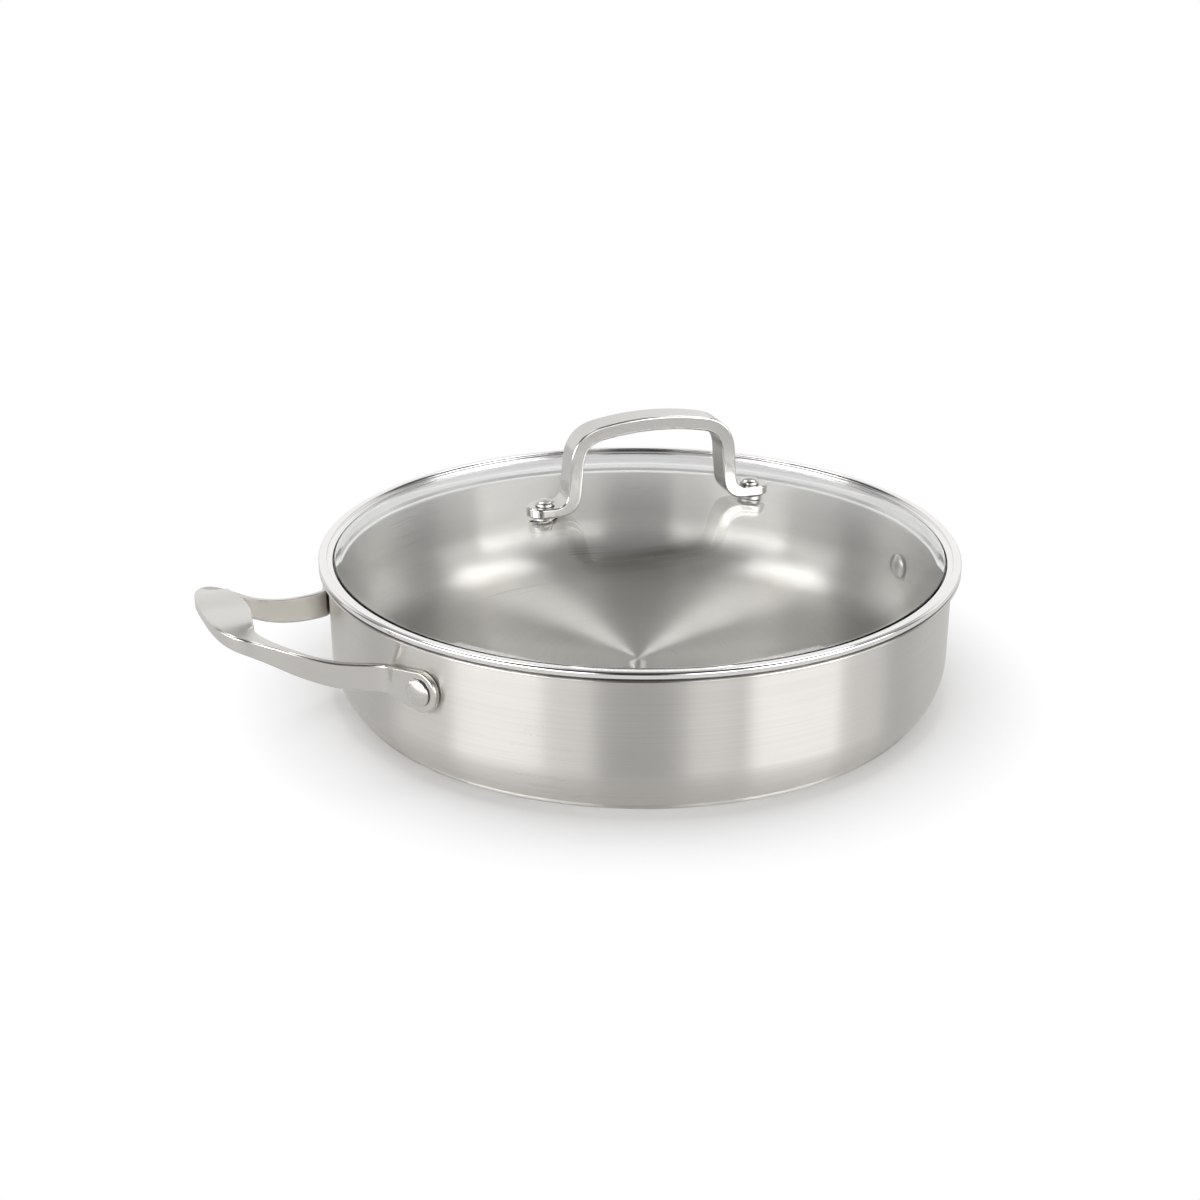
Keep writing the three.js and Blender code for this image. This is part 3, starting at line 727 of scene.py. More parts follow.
@dataclass
class Pan:
    """The pan body, its core and the plate under it."""

    inner_radius: float = 140.4 * MM
    wall: float = 1.8 * MM
    height: float = 62.2 * MM
    floor: float = 6.2 * MM
    underside: float = 2.3 * MM
    skin: float = 0.9 * MM
    inner_fillet: float = 22.0 * MM
    outer_corner: float = 28.0 * MM
    corner_inset: float = 7.0 * MM
    lip_width: float = 3.8 * MM
    lip_thickness: float = 1.1 * MM
    lip_bend: float = 1.2 * MM
    core_mouth: float = 3.2 * MM
    fork_height: float = 22.0 * MM
    plate_inset: float = 1.2 * MM
    plate_thickness: float = 2.0 * MM
    plate_rounding: float = 0.5 * MM
    fillet_steps: int = 28
    corner_steps: int = 24

    @property
    def outer_radius(self) -> float:
        """Radius of the wall's outer face."""
        return self.inner_radius + self.wall

    @property
    def lip_radius(self) -> float:
        """Radius of the lip's edge."""
        return self.outer_radius + self.lip_width

    @property
    def foot_radius(self) -> float:
        """Radius where the outer corner meets the underside."""
        return self.outer_radius - self.corner_inset

    @property
    def fillet_centre(self) -> Point:
        """Centre of the arc between the floor and the wall, inside."""
        return (self.inner_radius - self.inner_fillet, self.floor + self.inner_fillet)

    def corner_centre(self) -> Point:
        """Gives the centre of the outer corner's arc.

        Returns:
            Its distance from the axis and its height.
        """
        radius = self.outer_radius - self.outer_corner
        run = self.foot_radius - radius
        return (radius, self.underside + math.sqrt(self.outer_corner**2 - run**2))

    def body_profile(self) -> list[Point]:
        """Gives the outline of the sheet, which forks around the core.

        Returns:
            Points from the middle of the floor over the rim to the middle of its underside.
        """
        fillet = self.fillet_centre
        corner = self.corner_centre()
        foot = bearing(corner, (self.foot_radius, self.underside))
        lip_inner = self.lip_bend + self.wall
        lip_inner_centre = (self.inner_radius + lip_inner, self.height - lip_inner)
        lip_under = self.height - self.lip_thickness
        lip_outer_centre = (self.outer_radius + self.lip_bend, lip_under - self.lip_bend)
        edge = 0.5 * self.lip_thickness
        skin_arc = self.outer_corner - self.skin
        ledge = self.underside + self.skin
        skin_foot = (reach_at(corner, skin_arc, ledge), ledge)
        back_arc = self.inner_fillet + self.skin
        fork = (reach_at(fillet, back_arc, self.fork_height), self.fork_height)
        mouth = self.foot_radius - self.core_mouth
        return [
            (0.0, self.floor),
            (0.5 * fillet[0], self.floor),
            *arc(fillet, self.inner_fillet, -90, 0, self.fillet_steps),
            *arc(lip_inner_centre, lip_inner, 180, 90),
            *arc((self.lip_radius - edge, self.height - edge), edge, 90, -90),
            *arc(lip_outer_centre, self.lip_bend, 90, 180),
            *arc(corner, self.outer_corner, 0, foot, self.corner_steps),
            (mouth, self.underside),
            (mouth, ledge),
            *arc(corner, skin_arc, bearing(corner, skin_foot), 0),
            (self.outer_radius - self.skin, self.fork_height),
            *arc(fillet, back_arc, bearing(fillet, fork), -90),
            (0.0, self.floor - self.skin),
        ]

    def plate_profile(self) -> list[Point]:
        """Gives the outline of the plate under the core, with rounded edges.

        Returns:
            Points from the middle of the underside to the middle of the top.
        """
        radius = self.foot_radius - self.plate_inset
        turn = self.plate_rounding
        return [
            (0.0, 0.0),
            *arc((radius - turn, turn), turn, -90, 0, 5),
            *arc((radius - turn, self.plate_thickness - turn), turn, 0, 90, 5),
            (0.0, self.plate_thickness),
        ]

    def build(self, nodes: dict[str, bpy.types.Object]) -> None:
        """Makes the pan body and the base plate, and dresses the core.

        Args:
            nodes: The frame's own objects by name.
        """
        satin = SATIN_PAN.material()
        dress(turned("pan_shell", self.body_profile()), satin, "pan", Slot.SATIN, "pan_body")
        dress(turned("pan_base", self.plate_profile()), satin, "pan", Slot.SATIN, "base_plate")
        core = nodes["heat_core"]
        core.data.materials.clear()
        core.data.materials.append(CORE.material())


@dataclass
class Rivets:
    """The rivets through the pan's wall, with a head on each side."""

    pan: Pan
    shank: float = 2.5 * MM
    head: float = 6.0 * MM
    head_height: float = 2.4 * MM
    head_side: float = 0.9 * MM
    edge: float = 0.45 * MM
    edge_turn: float = 70.0
    gap: float = 0.3 * MM
    wall_azimuth: float = 24.0
    wall_height: float = 32.0 * MM

    def head_profile(self, base: float, out: float) -> list[Point]:
        """Gives one head from its rim to its top: a short side, a rounded edge and a low dome.

        Args:
            base: Where the head's flat side lies on the rivet's axis.
            out: 1 if the head points up the axis, -1 if down.

        Returns:
            Points from the outer rim of the flat side to the middle of the dome.
        """
        crown = self.head_height - self.head_side
        dome = (self.head**2 + crown**2) / (2.0 * crown)
        centre = self.head_height - dome
        turn = (self.head - self.edge, self.head_side - self.edge)
        points = [(self.head, 0.0), (self.head, turn[1])]
        points += arc(turn, self.edge, 0, self.edge_turn, 4)
        for step in range(1, DOME_STEPS + 1):
            radius = turn[0] * (1.0 - step / DOME_STEPS)
            points.append((radius, centre + math.sqrt(dome**2 - radius**2)))
        return [(radius, base + out * height) for radius, height in points]

    def profile(self, seat: float, outer_seat: float) -> list[Point]:
        """Gives a whole rivet along its axis, measured from the pan's axis.

        Args:
            seat: Radius of the wall's inner face under the head.
            outer_seat: Radius of the face that the outer head sits on.

        Returns:
            Points from the inner dome to the outer one.
        """
        inner = seat - self.gap - self.head**2 / self.pan.inner_radius
        outer = outer_seat + self.gap
        return [
            *reversed(self.head_profile(inner, -1.0)),
            (self.shank, inner),
            (self.shank, outer),
            *self.head_profile(outer, 1.0),
        ]

    def build(self, handle: "LoopHandle") -> None:
        """Makes the loop handle's two rivets and the one across from it.

        Args:
            handle: The handle that the first two hold.
        """
        pan = self.pan
        pad_face = pan.outer_radius + self.gap + handle.strap
        profile = self.profile(pan.inner_radius, pad_face)
        for end, side in (("front", 1.0), ("rear", -1.0)):
            azimuth = handle.azimuth + side * math.degrees(handle.rivet_angle())
            height = handle.height + side * handle.slope * 0.5 * handle.rivet_spacing
            names = (f"handle_rivet_{end}", f"side_handle_rivet_{end}")
            self.set_in_wall(names, profile, azimuth, height)
        low = self.wall_height - self.head
        seat = pan.inner_radius
        if low < pan.fillet_centre[1]:
            seat = reach_at(pan.fillet_centre, pan.inner_fillet, low)
        profile = self.profile(seat, pan.outer_radius)
        names = ("far_rivet", "wall_rivet")
        self.set_in_wall(names, profile, self.wall_azimuth, self.wall_height)

    @staticmethod
    def set_in_wall(
        names: tuple[str, str], profile: Sequence[Point], azimuth: float, height: float
    ) -> None:
        """Makes a rivet whose axis lies straight out of the wall.

        Args:
            names: The piece's name, and the node's.
            profile: The rivet along its axis.
            azimuth: Where on the wall it sits, in degrees.
            height: How high it sits.
        """
        out = Matrix.Rotation(math.radians(90), 4, "Y")
        turn = Matrix.Rotation(math.radians(azimuth), 4, "Z")
        place = Matrix.Translation((0.0, 0.0, height)) @ (turn @ out)
        piece = turned(names[0], profile, SMALL_SEGMENTS, place)
        dress(piece, RIVET.material(), "pan", Slot.POLISHED, names[1])


@dataclass
class LoopHandle:
    """The cast loop: two pads on the wall, upright legs and a flat grip."""

    pan: Pan
    azimuth: float = -155.2
    height: float = 40.9 * MM
    slope: float = 0.02
    rivet_spacing: float = 132.8 * MM
    strap: float = 3.2 * MM
    gap: float = 0.3 * MM
    pad_radius: float = 9.1 * MM
    pad_length: float = 21.0 * MM
    pad_root: float = 12.6 * MM
    pad_lift: float = 0.9 * MM
    pad_stations: int = 3
    edge: float = 0.9 * MM
    steps: int = 12
    # Reach from the wall, half spread, rise, height and width of each station outwards, in mm
    leg: tuple[float, ...] = (13.7, 39.8, 2.1, 11.5, 3.2)
    neck: tuple[float, ...] = (29.3, 33.5, 7.7, 10.2, 4.6)
    shoulder: tuple[float, ...] = (48.3, 27.2, 19.4, 6.7, 13.0)
    grip: tuple[float, ...] = (49.4, 0.0, 21.2, 4.4, 20.2)

    def pad_middle(self) -> float:
        """Radius of the pads' middle layer."""
        return self.pan.outer_radius + self.gap + 0.5 * self.strap

    def rivet_angle(self) -> float:
        """Angle from the handle's middle to a rivet, about the pan's axis."""
        return math.asin(0.5 * self.rivet_spacing / self.pad_middle())

    def on_wall(self, offset: float, lift: float = 0.0) -> Vector:
        """Gives a place on the pad's middle layer.

        Args:
            offset: How far past the rivet it lies, along the wall.
            lift: How far off the layer it lies.

        Returns:
            The place, in the handle's own frame.
        """
        angle = self.rivet_angle() + offset / self.pad_middle()
        radius = self.pad_middle() + lift
        return Vector((radius * math.cos(angle), radius * math.sin(angle), 0.0))

    def half_route(self) -> tuple[list[Vector], list[Vector]]:
        """Gives the route and the sizes from one rivet to the middle of the grip.

        Returns:
            The places, and for each its width and height as a vector.
        """
        route = [self.on_wall(0.0)]
        sizes = [Vector((self.strap, 2.0 * self.pad_radius, 0.0))]
        for station in range(1, self.pad_stations + 1):
            share = station / self.pad_stations
            route.append(self.on_wall(-self.pad_length * share, self.pad_lift * share**4))
            tall = 2.0 * self.pad_radius + (self.pad_root - 2.0 * self.pad_radius) * share
            sizes.append(Vector((self.strap, tall, 0.0)))
        for reach, spread, rise, tall, wide in (self.leg, self.neck, self.shoulder, self.grip):
            route.append(Vector((self.pan.outer_radius + reach * MM, spread * MM, rise * MM)))
            sizes.append(Vector((wide * MM, tall * MM, 0.0)))
        return route, sizes

    def stations(self) -> list[Station]:
        """Gives the handle's sections from the front pad round to the rear one.

        Returns:
            Sections in the handle's own frame, X out from the pan and Y to the front.
        """
        half, half_sizes = self.half_route()
        route = half + [Vector((p.x, -p.y, p.z)) for p in reversed(half[:-1])]
        sizes = half_sizes + list(reversed(half_sizes[:-1]))
        centres = through(route, self.steps, even=False)
        spans = through(sizes, self.steps, even=True)
        up = Vector((0.0, 0.0, 1.0))
        middle = []
        for number, (centre, span) in enumerate(zip(centres, spans)):
            ahead = centres[min(number + 1, len(centres) - 1)] - centres[max(number - 1, 0)]
            across = Vector((ahead.x, ahead.y, 0.0)).cross(up).normalized()
            outline = rounded_section(span.y / 2, span.x / 2, self.edge)
            middle.append(Station(centre, across, up, outline))
        front = [self.end_station(angle, 1.0) for angle in ROUND_END]
        rear = [self.end_station(angle, -1.0) for angle in reversed(ROUND_END)]
        return front + middle + rear

    def end_station(self, angle: float, side: float) -> Station:
        """Gives a section of a pad's round end.

        Args:
            angle: How far round the end it lies, in degrees.
            side: 1 for the front pad, -1 for the rear one.

        Returns:
            The section, in the handle's own frame.
        """
        past = self.pad_radius * math.sin(math.radians(angle))
        centre = self.on_wall(past)
        across = Vector((centre.x, centre.y, 0.0)).normalized()
        outline = rounded_section(self.pad_radius, 0.5 * self.strap, self.edge, past)
        flip = Vector((1.0, side, 1.0))
        return Station(centre * flip, -across * flip, Vector((0.0, 0.0, 1.0)), outline)

    def build(self) -> None:
        """Makes the handle and puts it on the wall."""
        shape = lofted(self.stations())
        shear = Matrix.Identity(4)
        shear[2][1] = self.slope
        turn = Matrix.Rotation(math.radians(self.azimuth), 4, "Z")
        place = Matrix.Translation((0.0, 0.0, self.height)) @ turn @ shear
        bmesh.ops.transform(shape, matrix=place, verts=shape.verts[:])
        piece = finished("loop_handle", shape)
        dress(piece, SATIN_STRAP.material(), "pan", Slot.SATIN, "side_handle")


# The lid


@dataclass
class Lid:
    """The domed glass, the band around it and the seal between them."""

    pan: Pan
    gap: float = 0.3 * MM
    lip_gap: float = 0.6 * MM
    fit: float = 0.5 * MM
    sheet: float = 0.6 * MM
    bend: float = 1.2 * MM
    bead_width: float = 1.8 * MM
    bead_height: float = 3.5 * MM
    bead_rounding: float = 1.3 * MM
    bead_under_rounding: float = 1.1 * MM
    step: float = 1.3 * MM
    step_rounding: float = 0.35 * MM
    glass_thickness: float = 4.0 * MM
    glass_rise: float = 20.3 * MM
    glass_recess: float = 1.3 * MM
    glass_edge: float = 0.7 * MM
    glass_steps: int = 40
    # Where the rim's rounding leaves the underside and meets the dome, in degrees
    rim_leaves: float = -98.0
    rim_meets: float = 76.0
    skirt_depth: float = 6.8 * MM
    drip_width: float = 2.5 * MM
    drip_drop: float = 4.4 * MM
    drip_turn: float = -30.0
    # Radius of the pale silicone bead at the drip edge's tip, a painted highlight along the hem
    painted_highlight_bead: float = 0.65 * MM
    seal_width: float = 1.4 * MM
    drill_clearance: float = 10.0 * MM

    def __post_init__(self) -> None:
        """Works out the sizes that follow from the others."""
        self.underside = self.pan.height + self.lip_gap
        self.top = self.pan.height + self.gap + self.bead_height
        self.skirt_outer = self.pan.inner_radius - self.fit
        self.skirt_inner = self.skirt_outer - self.sheet
        self.skirt_bottom = self.top - self.skirt_depth
        self.glass_radius = self.skirt_inner - self.gap
        self.crown = self.top - self.glass_recess + self.glass_rise
        self.dome = (self.glass_radius**2 + self.glass_rise**2) / (2.0 * self.glass_rise)

    def glass_height(self, distance: float, below: float = 0.0) -> float:
        """Gives the height of the dome at a distance from the axis, or of a layer below it."""
        return self.crown - self.dome + math.sqrt((self.dome - below) ** 2 - distance**2)

    def glass_profile(self) -> list[Point]:
        """Gives the outline of the domed glass, with a rounded rim.

        Returns:
            Points from the middle of the underside to the middle of the top.
        """
        thick = self.glass_thickness
        edge = self.glass_edge
        reach = self.glass_radius - edge
        rings = [reach * step / self.glass_steps for step in range(self.glass_steps)]
        under = [(ring, self.glass_height(ring, thick)) for ring in rings]
        over = [(ring, self.glass_height(ring)) for ring in rings]
        low = (reach, self.glass_height(reach, thick) + edge)
        high = (reach, self.glass_height(reach) - edge)
        rim = arc(low, edge, self.rim_leaves, 0, 6) + arc(high, edge, 0, self.rim_meets, 6)
        return under + rim + list(reversed(over))

    def drip_tip(self) -> Point:
        """Gives the inner corner of the drip edge's end."""
        return (self.skirt_inner - self.drip_width, self.skirt_bottom - self.drip_drop)

    def band_profile(self) -> list[Point]:
        """Gives the outline of the band's sheet: flange, bead, skirt, drip edge, ledge and step.

        Returns:
            Points once round the section.
        """
        rim = self.pan.lip_radius
        ledge = self.top - self.step
        bend = (self.skirt_inner + self.bend, ledge - self.bend)
        turn = self.bead_rounding
        low = self.bead_under_rounding
        step = self.pan.outer_radius
        curl = self.step_rounding
        tip = self.drip_tip()
        drip_bend = (self.skirt_inner - self.sheet, self.skirt_bottom)
        thick = self.sheet * math.hypot(self.drip_width, self.drip_drop) / self.drip_drop
        return [
            *arc((step + curl, self.top - curl), curl, 180, 90, 5),
            *arc((rim - turn, self.top - turn), turn, 90, 0, 10),
            *arc((rim - low, self.underside + low), low, 0, -90, 6),
            (rim - self.bead_width, self.underside),
            (rim - self.bead_width, self.top - self.sheet),
            (step + self.sheet, self.top - self.sheet),
            (step + self.sheet, ledge - self.sheet),
            *arc(bend, self.bend - self.sheet, 90, 180),
            (self.skirt_outer, self.skirt_bottom),
            (tip[0] + thick, tip[1]),
            tip,
            *arc(drip_bend, self.sheet, self.drip_turn, 0, 4),
            *arc(bend, self.bend, 180, 90),
            *arc((step - curl, ledge + curl), curl, -90, 0, 5),
        ]

    def seal_profile(self) -> list[Point]:
        """Gives the outline of the seal that lies on the drip edge and carries the glass.

        Returns:
            Points once round the section.
        """
        outer = self.skirt_inner - self.gap
        inner = outer - self.seal_width
        grade = self.drip_drop / self.drip_width
        lift = self.gap * math.hypot(1.0, grade)
        below = self.glass_thickness + self.gap
        return [
            (inner, self.skirt_bottom - (self.skirt_inner - inner) * grade + lift),
            (outer, self.skirt_bottom - (self.skirt_inner - outer) * grade + lift),
            (outer, self.glass_height(outer, below)),
            (inner, self.glass_height(inner, below)),
        ]

    def build(self, handle: "ArchHandle") -> None:
        """Makes the band, the seal, a pale bead that paints the hem's highlight, and the glass with
        its two holes.

        Args:
            handle: The lid handle, whose bolts go through the glass.
        """
        band = turned("lid_rim_band", self.band_profile())
        dress(band, POLISHED.material(), "lid", Slot.POLISHED, "lid_band")
        seal = turned("lid_rim_seal", self.seal_profile())
        silicone = Silicone().material()
        dress(seal, silicone, "lid", Slot.SILICONE, "lid_seal")
        # A pale silicone bead round the drip edge's tip paints the hem's highlight line
        last_side = 360 - 360 / BEAD_SIDES
        ring = arc(self.drip_tip(), self.painted_highlight_bead, 0, last_side, BEAD_SIDES - 1)
        dress(turned("lid_painted_highlight_bead", ring), silicone, "lid", Slot.SILICONE)
        glass = turned("lid_dome", self.glass_profile())
        for x in handle.feet().values():
            self.drill(glass, handle.place(x), handle.glass_hole())
        dress(glass, ClearGlass().material(), "lid", Slot.GLASS, "lid_glass")

    def drill(self, glass: bpy.types.Object, place: Matrix, radius: float) -> None:
        """Cuts a round hole down through the glass.

        Args:
            glass: The dome.
            place: Where the hole's axis stands.
            radius: The hole's radius.
        """
        bottom = self.skirt_bottom
        top = self.crown + self.drill_clearance
        rod = [(0.0, bottom), (radius, bottom), (radius, top), (0.0, top)]
        drill = turned("drill", rod, SMALL_SEGMENTS, place)
        cut = glass.modifiers.new("hole", "BOOLEAN")
        cut.operation = "DIFFERENCE"
        cut.object = drill
        view = bpy.context.evaluated_depsgraph_get()
        holed = bpy.data.meshes.new_from_object(glass.evaluated_get(view))
        glass.modifiers.clear()
        spare = (glass.data, drill.data)
        glass.data = holed
        bpy.data.objects.remove(drill)
        for mesh in spare:
            bpy.data.meshes.remove(mesh)


@dataclass
class ArchHandle:
    """The lid handle, an upright arch of flat bar, with the stack that clamps each foot."""

    lid: Lid
    azimuth: float = 19.6
    shift: float = 4.6 * MM
    bolt_spacing: float = 99.0 * MM
    width: float = 13.4 * MM
    thickness: float = 6.3 * MM
    edge: float = 0.8 * MM
    heel_spacing: float = 75.6 * MM
    shoulder_spacing: float = 70.0 * MM
    shoulder_rise: float = 32.7 * MM
    crown_rise: float = 37.2 * MM
    heel_cut: float = 8.2 * MM
    shoulder_cut: float = 11.2 * MM
    foot_thickness: float = 4.4 * MM
    foot_overhang: float = 1.7 * MM
    gap: float = 0.3 * MM
    washer: float = 6.0 * MM
    washer_thickness: float = 0.6 * MM
    washer_edge: float = 0.2 * MM
    under_washer: float = 5.2 * MM
    under_washer_thickness: float = 0.6 * MM
    bolt: float = 2.5 * MM
    bolt_head: float = 4.4 * MM
    bolt_head_height: float = 2.4 * MM
    bolt_head_side: float = 0.5 * MM
    grommet_wall: float = 1.4 * MM
    nut: float = 3.7 * MM
    nut_height: float = 2.6 * MM
    nut_bore_depth: float = 1.7 * MM
    nut_dome_angles: tuple[int, ...] = (80, 70, 60, 50, 40, 30, 20, 10, 0)
    bend_steps: int = 18
    bar_steps: int = 40

    def place(self, x: float) -> Matrix:
        """Gives the move to a place along the handle's line, measured from the lid's axis."""
        turn = Matrix.Rotation(math.radians(self.azimuth), 4, "Z")
        return turn @ Matrix.Translation((x, 0.0, 0.0))

    def feet(self) -> dict[str, float]:
        """Gives the bolts' places along the handle's line."""
        half = 0.5 * self.bolt_spacing
        return {"left": self.shift - half, "right": self.shift + half}

    def glass_hole(self) -> float:
        """Radius of the holes through the glass."""
        return self.bolt + self.grommet_wall + 2.0 * self.gap

    def foot_underside(self) -> float:
        """Height of the feet's undersides."""
        nearest = min(abs(x) for x in self.feet().values())
        return self.lid.glass_height(nearest) + 2.0 * self.gap + self.washer_thickness

    def middle_line(self) -> list[Vector]:
        """Gives the bar's middle line between the feet's bolts.

        Returns:
            Places in the handle's own frame, about its middle.
        """
        z = self.foot_underside() + 0.5 * self.foot_thickness
        foot = Vector((-0.5 * self.bolt_spacing, 0.0, z))
        heel = Vector((-0.5 * self.heel_spacing, 0.0, z))
        shoulder = Vector((-0.5 * self.shoulder_spacing, 0.0, z + self.shoulder_rise))
        bow = 2.0 * (self.crown_rise - self.shoulder_rise) / (1.0 - self.shoulder_cut / shoulder.x)
        peak = Vector((0.0, 0.0, shoulder.z + bow))
        starts = self.bend_at(heel, foot, shoulder, self.heel_cut)
        bends = self.bend_at(shoulder, heel, peak, self.shoulder_cut)
        end = bends[-1]
        bar = self.soft_corner(end, peak, Vector((-end.x, 0.0, end.z)), self.bar_steps)
        half = [*starts, *bends]
        return half + bar[1:-1] + [Vector((-p.x, 0.0, p.z)) for p in reversed(half)]

    def bend_at(self, corner: Vector, before: Vector, after: Vector, cut: float) -> list[Vector]:
        """Rounds a corner of the middle line.

        Args:
            corner: The corner.
            before: The line's last point before it.
            after: The next one.
            cut: How far from the corner the bend starts and ends.

        Returns:
            Places round the bend.
        """
        start = corner + (before - corner).normalized() * cut
        end = corner + (after - corner).normalized() * cut
        return self.soft_corner(start, corner, end, self.bend_steps)

    @staticmethod
    def soft_corner(start: Vector, corner: Vector, end: Vector, steps: int) -> list[Vector]:
        """Gives a curve that leaves one place towards a corner and arrives at another from it.

        Args:
            start: The first place.
            corner: The corner.
            end: The last place.
            steps: How many chords the curve has.

        Returns:
            Places on the curve, both ends included.
        """
        first = start + (corner - start) * (2.0 / 3.0)
        second = end + (corner - end) * (2.0 / 3.0)
        return interpolate_bezier(start, first, second, end, steps + 1)

    def stations(self) -> list[Station]:
        """Gives the bar's sections from one round foot to the other.

        Returns:
            Sections in the handle's own frame, about its middle.
        """
        line = self.middle_line()
        sideways = Vector((0.0, 1.0, 0.0))
        half = 0.5 * self.bolt_spacing
        middle = []
        for number, centre in enumerate(line):
            ahead = line[min(number + 1, len(line) - 1)] - line[max(number - 1, 0)]
            outward = sideways.cross(ahead).normalized()
            outline = self.outline(half - abs(centre.x))
            middle.append(Station(centre, outward, sideways, outline))
        left, right = [], []
        for angle in (*ROUND_END, 0):
            past = 0.5 * self.width * math.sin(math.radians(angle))
            outline = rounded_section(
                0.5 * self.width, 0.5 * self.foot_thickness, self.edge, past
            )
            for ends, side, near in ((left, -1.0, middle[0]), (right, 1.0, middle[-1])):
                centre = Vector((side * (half + self.foot_overhang + past), 0.0, near.centre.z))
                ends.append(Station(centre, near.across, sideways, outline))
        return left + middle + right[::-1]

    def outline(self, distance: float) -> list[Point]:
        """Gives the bar's section near a bolt, where the feet are flatter than the arch.

        Args:
            distance: How far the section lies from the bolt, along the handle's line.

        Returns:
            Points round the section.
        """
        heel = 0.5 * (self.bolt_spacing - self.heel_spacing)
        share = min(max((distance - heel + self.heel_cut) / self.heel_cut, 0.0), 1.0)
        share = share**2 * (3.0 - 2.0 * share)
        thickness = self.foot_thickness + (self.thickness - self.foot_thickness) * share
        return rounded_section(0.5 * self.width, 0.5 * thickness, self.edge)

    def build(self) -> None:
        """Makes the arch and the stacks under and over its feet."""
        shape = lofted(self.stations())
        bmesh.ops.transform(shape, matrix=self.place(self.shift), verts=shape.verts[:])
        piece = finished("lid_arch", shape)
        # The arch's darker grey is painted shade
        dress(piece, SATIN_ARCH_SHADED.material(), "lid", Slot.SATIN, "lid_handle")
        for side, x in self.feet().items():
            self.build_stack(side, x)

    def head_profile(self, base: float) -> list[Point]:
        """Gives the bolt's domed head.

        Args:
            base: Height of the head's flat side.

        Returns:
            Points from the rim of the flat side to the middle of the dome.
        """
        shoulder = base + self.bolt_head_side
        rise = self.bolt_head_height - self.bolt_head_side
        points = [(self.bolt_head, base), (self.bolt_head, shoulder)]
        for step in range(1, DOME_STEPS):
            angle = 0.5 * math.pi * step / DOME_STEPS
            points.append((self.bolt_head * math.cos(angle), shoulder + rise * math.sin(angle)))
        return [*points, (0.0, shoulder + rise)]

    def build_stack(self, side: str, x: float) -> None:
        """Makes the bolt, washers, grommet and nut of one foot.

        Args:
            side: The foot's name.
            x: Its place along the handle's line.
        """
        lid = self.lid
        steel = BOLT.material()
        silicone = Silicone(f"silicone_{side}").material()
        spot = self.place(x)
        distance = abs(x)
        bore = self.bolt + self.gap
        sleeve = bore + self.grommet_wall
        lowest = lid.glass_height(distance + self.under_washer, lid.glass_thickness)
        under = lowest - self.gap - self.under_washer_thickness
        nut_top = under - self.gap
        nut_floor = nut_top - self.nut_bore_depth
        nut_bottom = nut_top - self.nut_height
        tip = nut_floor + self.gap
        head_seat = self.foot_underside() + self.foot_thickness + self.gap
        bolt = [(0.0, tip), (self.bolt, tip), (self.bolt, head_seat), *self.head_profile(head_seat)]
        nut = [(0.0, nut_bottom)]
        for angle in map(math.radians, self.nut_dome_angles):
            level = nut_floor - (nut_floor - nut_bottom) * math.sin(angle)
            nut.append((self.nut * math.cos(angle), level))
        nut += [(self.nut, nut_top), (bore, nut_top), (bore, nut_floor), (0.0, nut_floor)]
        low = lid.glass_height(distance - sleeve, lid.glass_thickness)
        high = lid.glass_height(distance + sleeve)
        ring = [(bore, low), (sleeve, low), (sleeve, high), (bore, high)]
        for name, node, profile, material, slot in (
            ("lid_screw", "lid_bolt", bolt, steel, Slot.POLISHED),
            ("lid_dome_nut", "lid_cap_nut", nut, steel, Slot.POLISHED),
            ("lid_sleeve", "lid_grommet", ring, silicone, Slot.SILICONE),
        ):
            piece = turned(f"{name}_{side}", profile, SMALL_SEGMENTS, spot)
            dress(piece, material, "lid", slot, f"{node}_{side}")
        seat = self.foot_underside() - self.gap
        below = -lid.glass_thickness - self.gap
        for name, node, rim, flat, offset in (
            ("lid_seat", "lid_foot_washer", self.washer, seat, self.gap),
            ("lid_backing", "lid_under_washer", self.under_washer, under, below),
        ):
            piece = self.seated_ring(f"{name}_{side}", spot, (bore, rim), flat, offset)
            dress(piece, steel, "lid", Slot.POLISHED, f"{node}_{side}")

    def seated_ring(
        self, name: str, spot: Matrix, radii: Point, flat: float, offset: float
    ) -> bpy.types.Object:
        """Makes a washer with one flat face and one that follows the dome.

        Args:
            name: The piece's name.
            spot: Where its axis stands.
            radii: Its bore and its rim.
            flat: Height of its flat face.
            offset: How far its other face lies from the glass's outer surface.

        Returns:
            The new object.
        """
        bore, rim = radii
        inward = math.copysign(self.washer_edge, offset)
        far = flat - 2 * inward
        shape = spun(
            [
                (bore, flat),
                (rim - self.washer_edge, flat),
                (rim, flat - inward),
                (rim, far),
                (bore, far),
            ],
            SMALL_SEGMENTS,
        )
        bmesh.ops.transform(shape, matrix=spot, verts=shape.verts[:])
        for vert in shape.verts:
            if abs(vert.co.z - far) < 0.001 * MM:
                dome = self.lid.glass_height(vert.co.xy.length, max(-offset, 0.0))
                vert.co.z = dome + max(offset, 0.0)
        return finished(name, shape)


# The studio


@dataclass(frozen=True)
class Softbox:
    """A flat lamp that faces the pan."""

    name: str
    azimuth: float
    elevation: float
    distance: float
    width: float
    height: float
    brightness: float

    def build(self, target: Vector) -> None:
        """Hangs the lamp so that it faces a place.

        Args:
            target: What the lamp faces. Azimuths run from the viewer's side to the right.
        """
        lamp = bpy.data.lights.new(self.name, "AREA")
        lamp.shape = "RECTANGLE"
        lamp.size = self.width
        lamp.size_y = self.height
        lamp.energy = self.brightness * math.pi * self.width * self.height
        holder = bpy.data.objects.new(self.name, lamp)
        side = math.radians(self.azimuth)
        climb = math.radians(self.elevation)
        level = math.cos(climb)
        way = Vector((level * math.sin(side), -level * math.cos(side), math.sin(climb)))
        holder.location = target + way * self.distance
        holder.rotation_euler = way.to_track_quat("Z", "Y").to_euler()
        bpy.context.scene.collection.objects.link(holder)


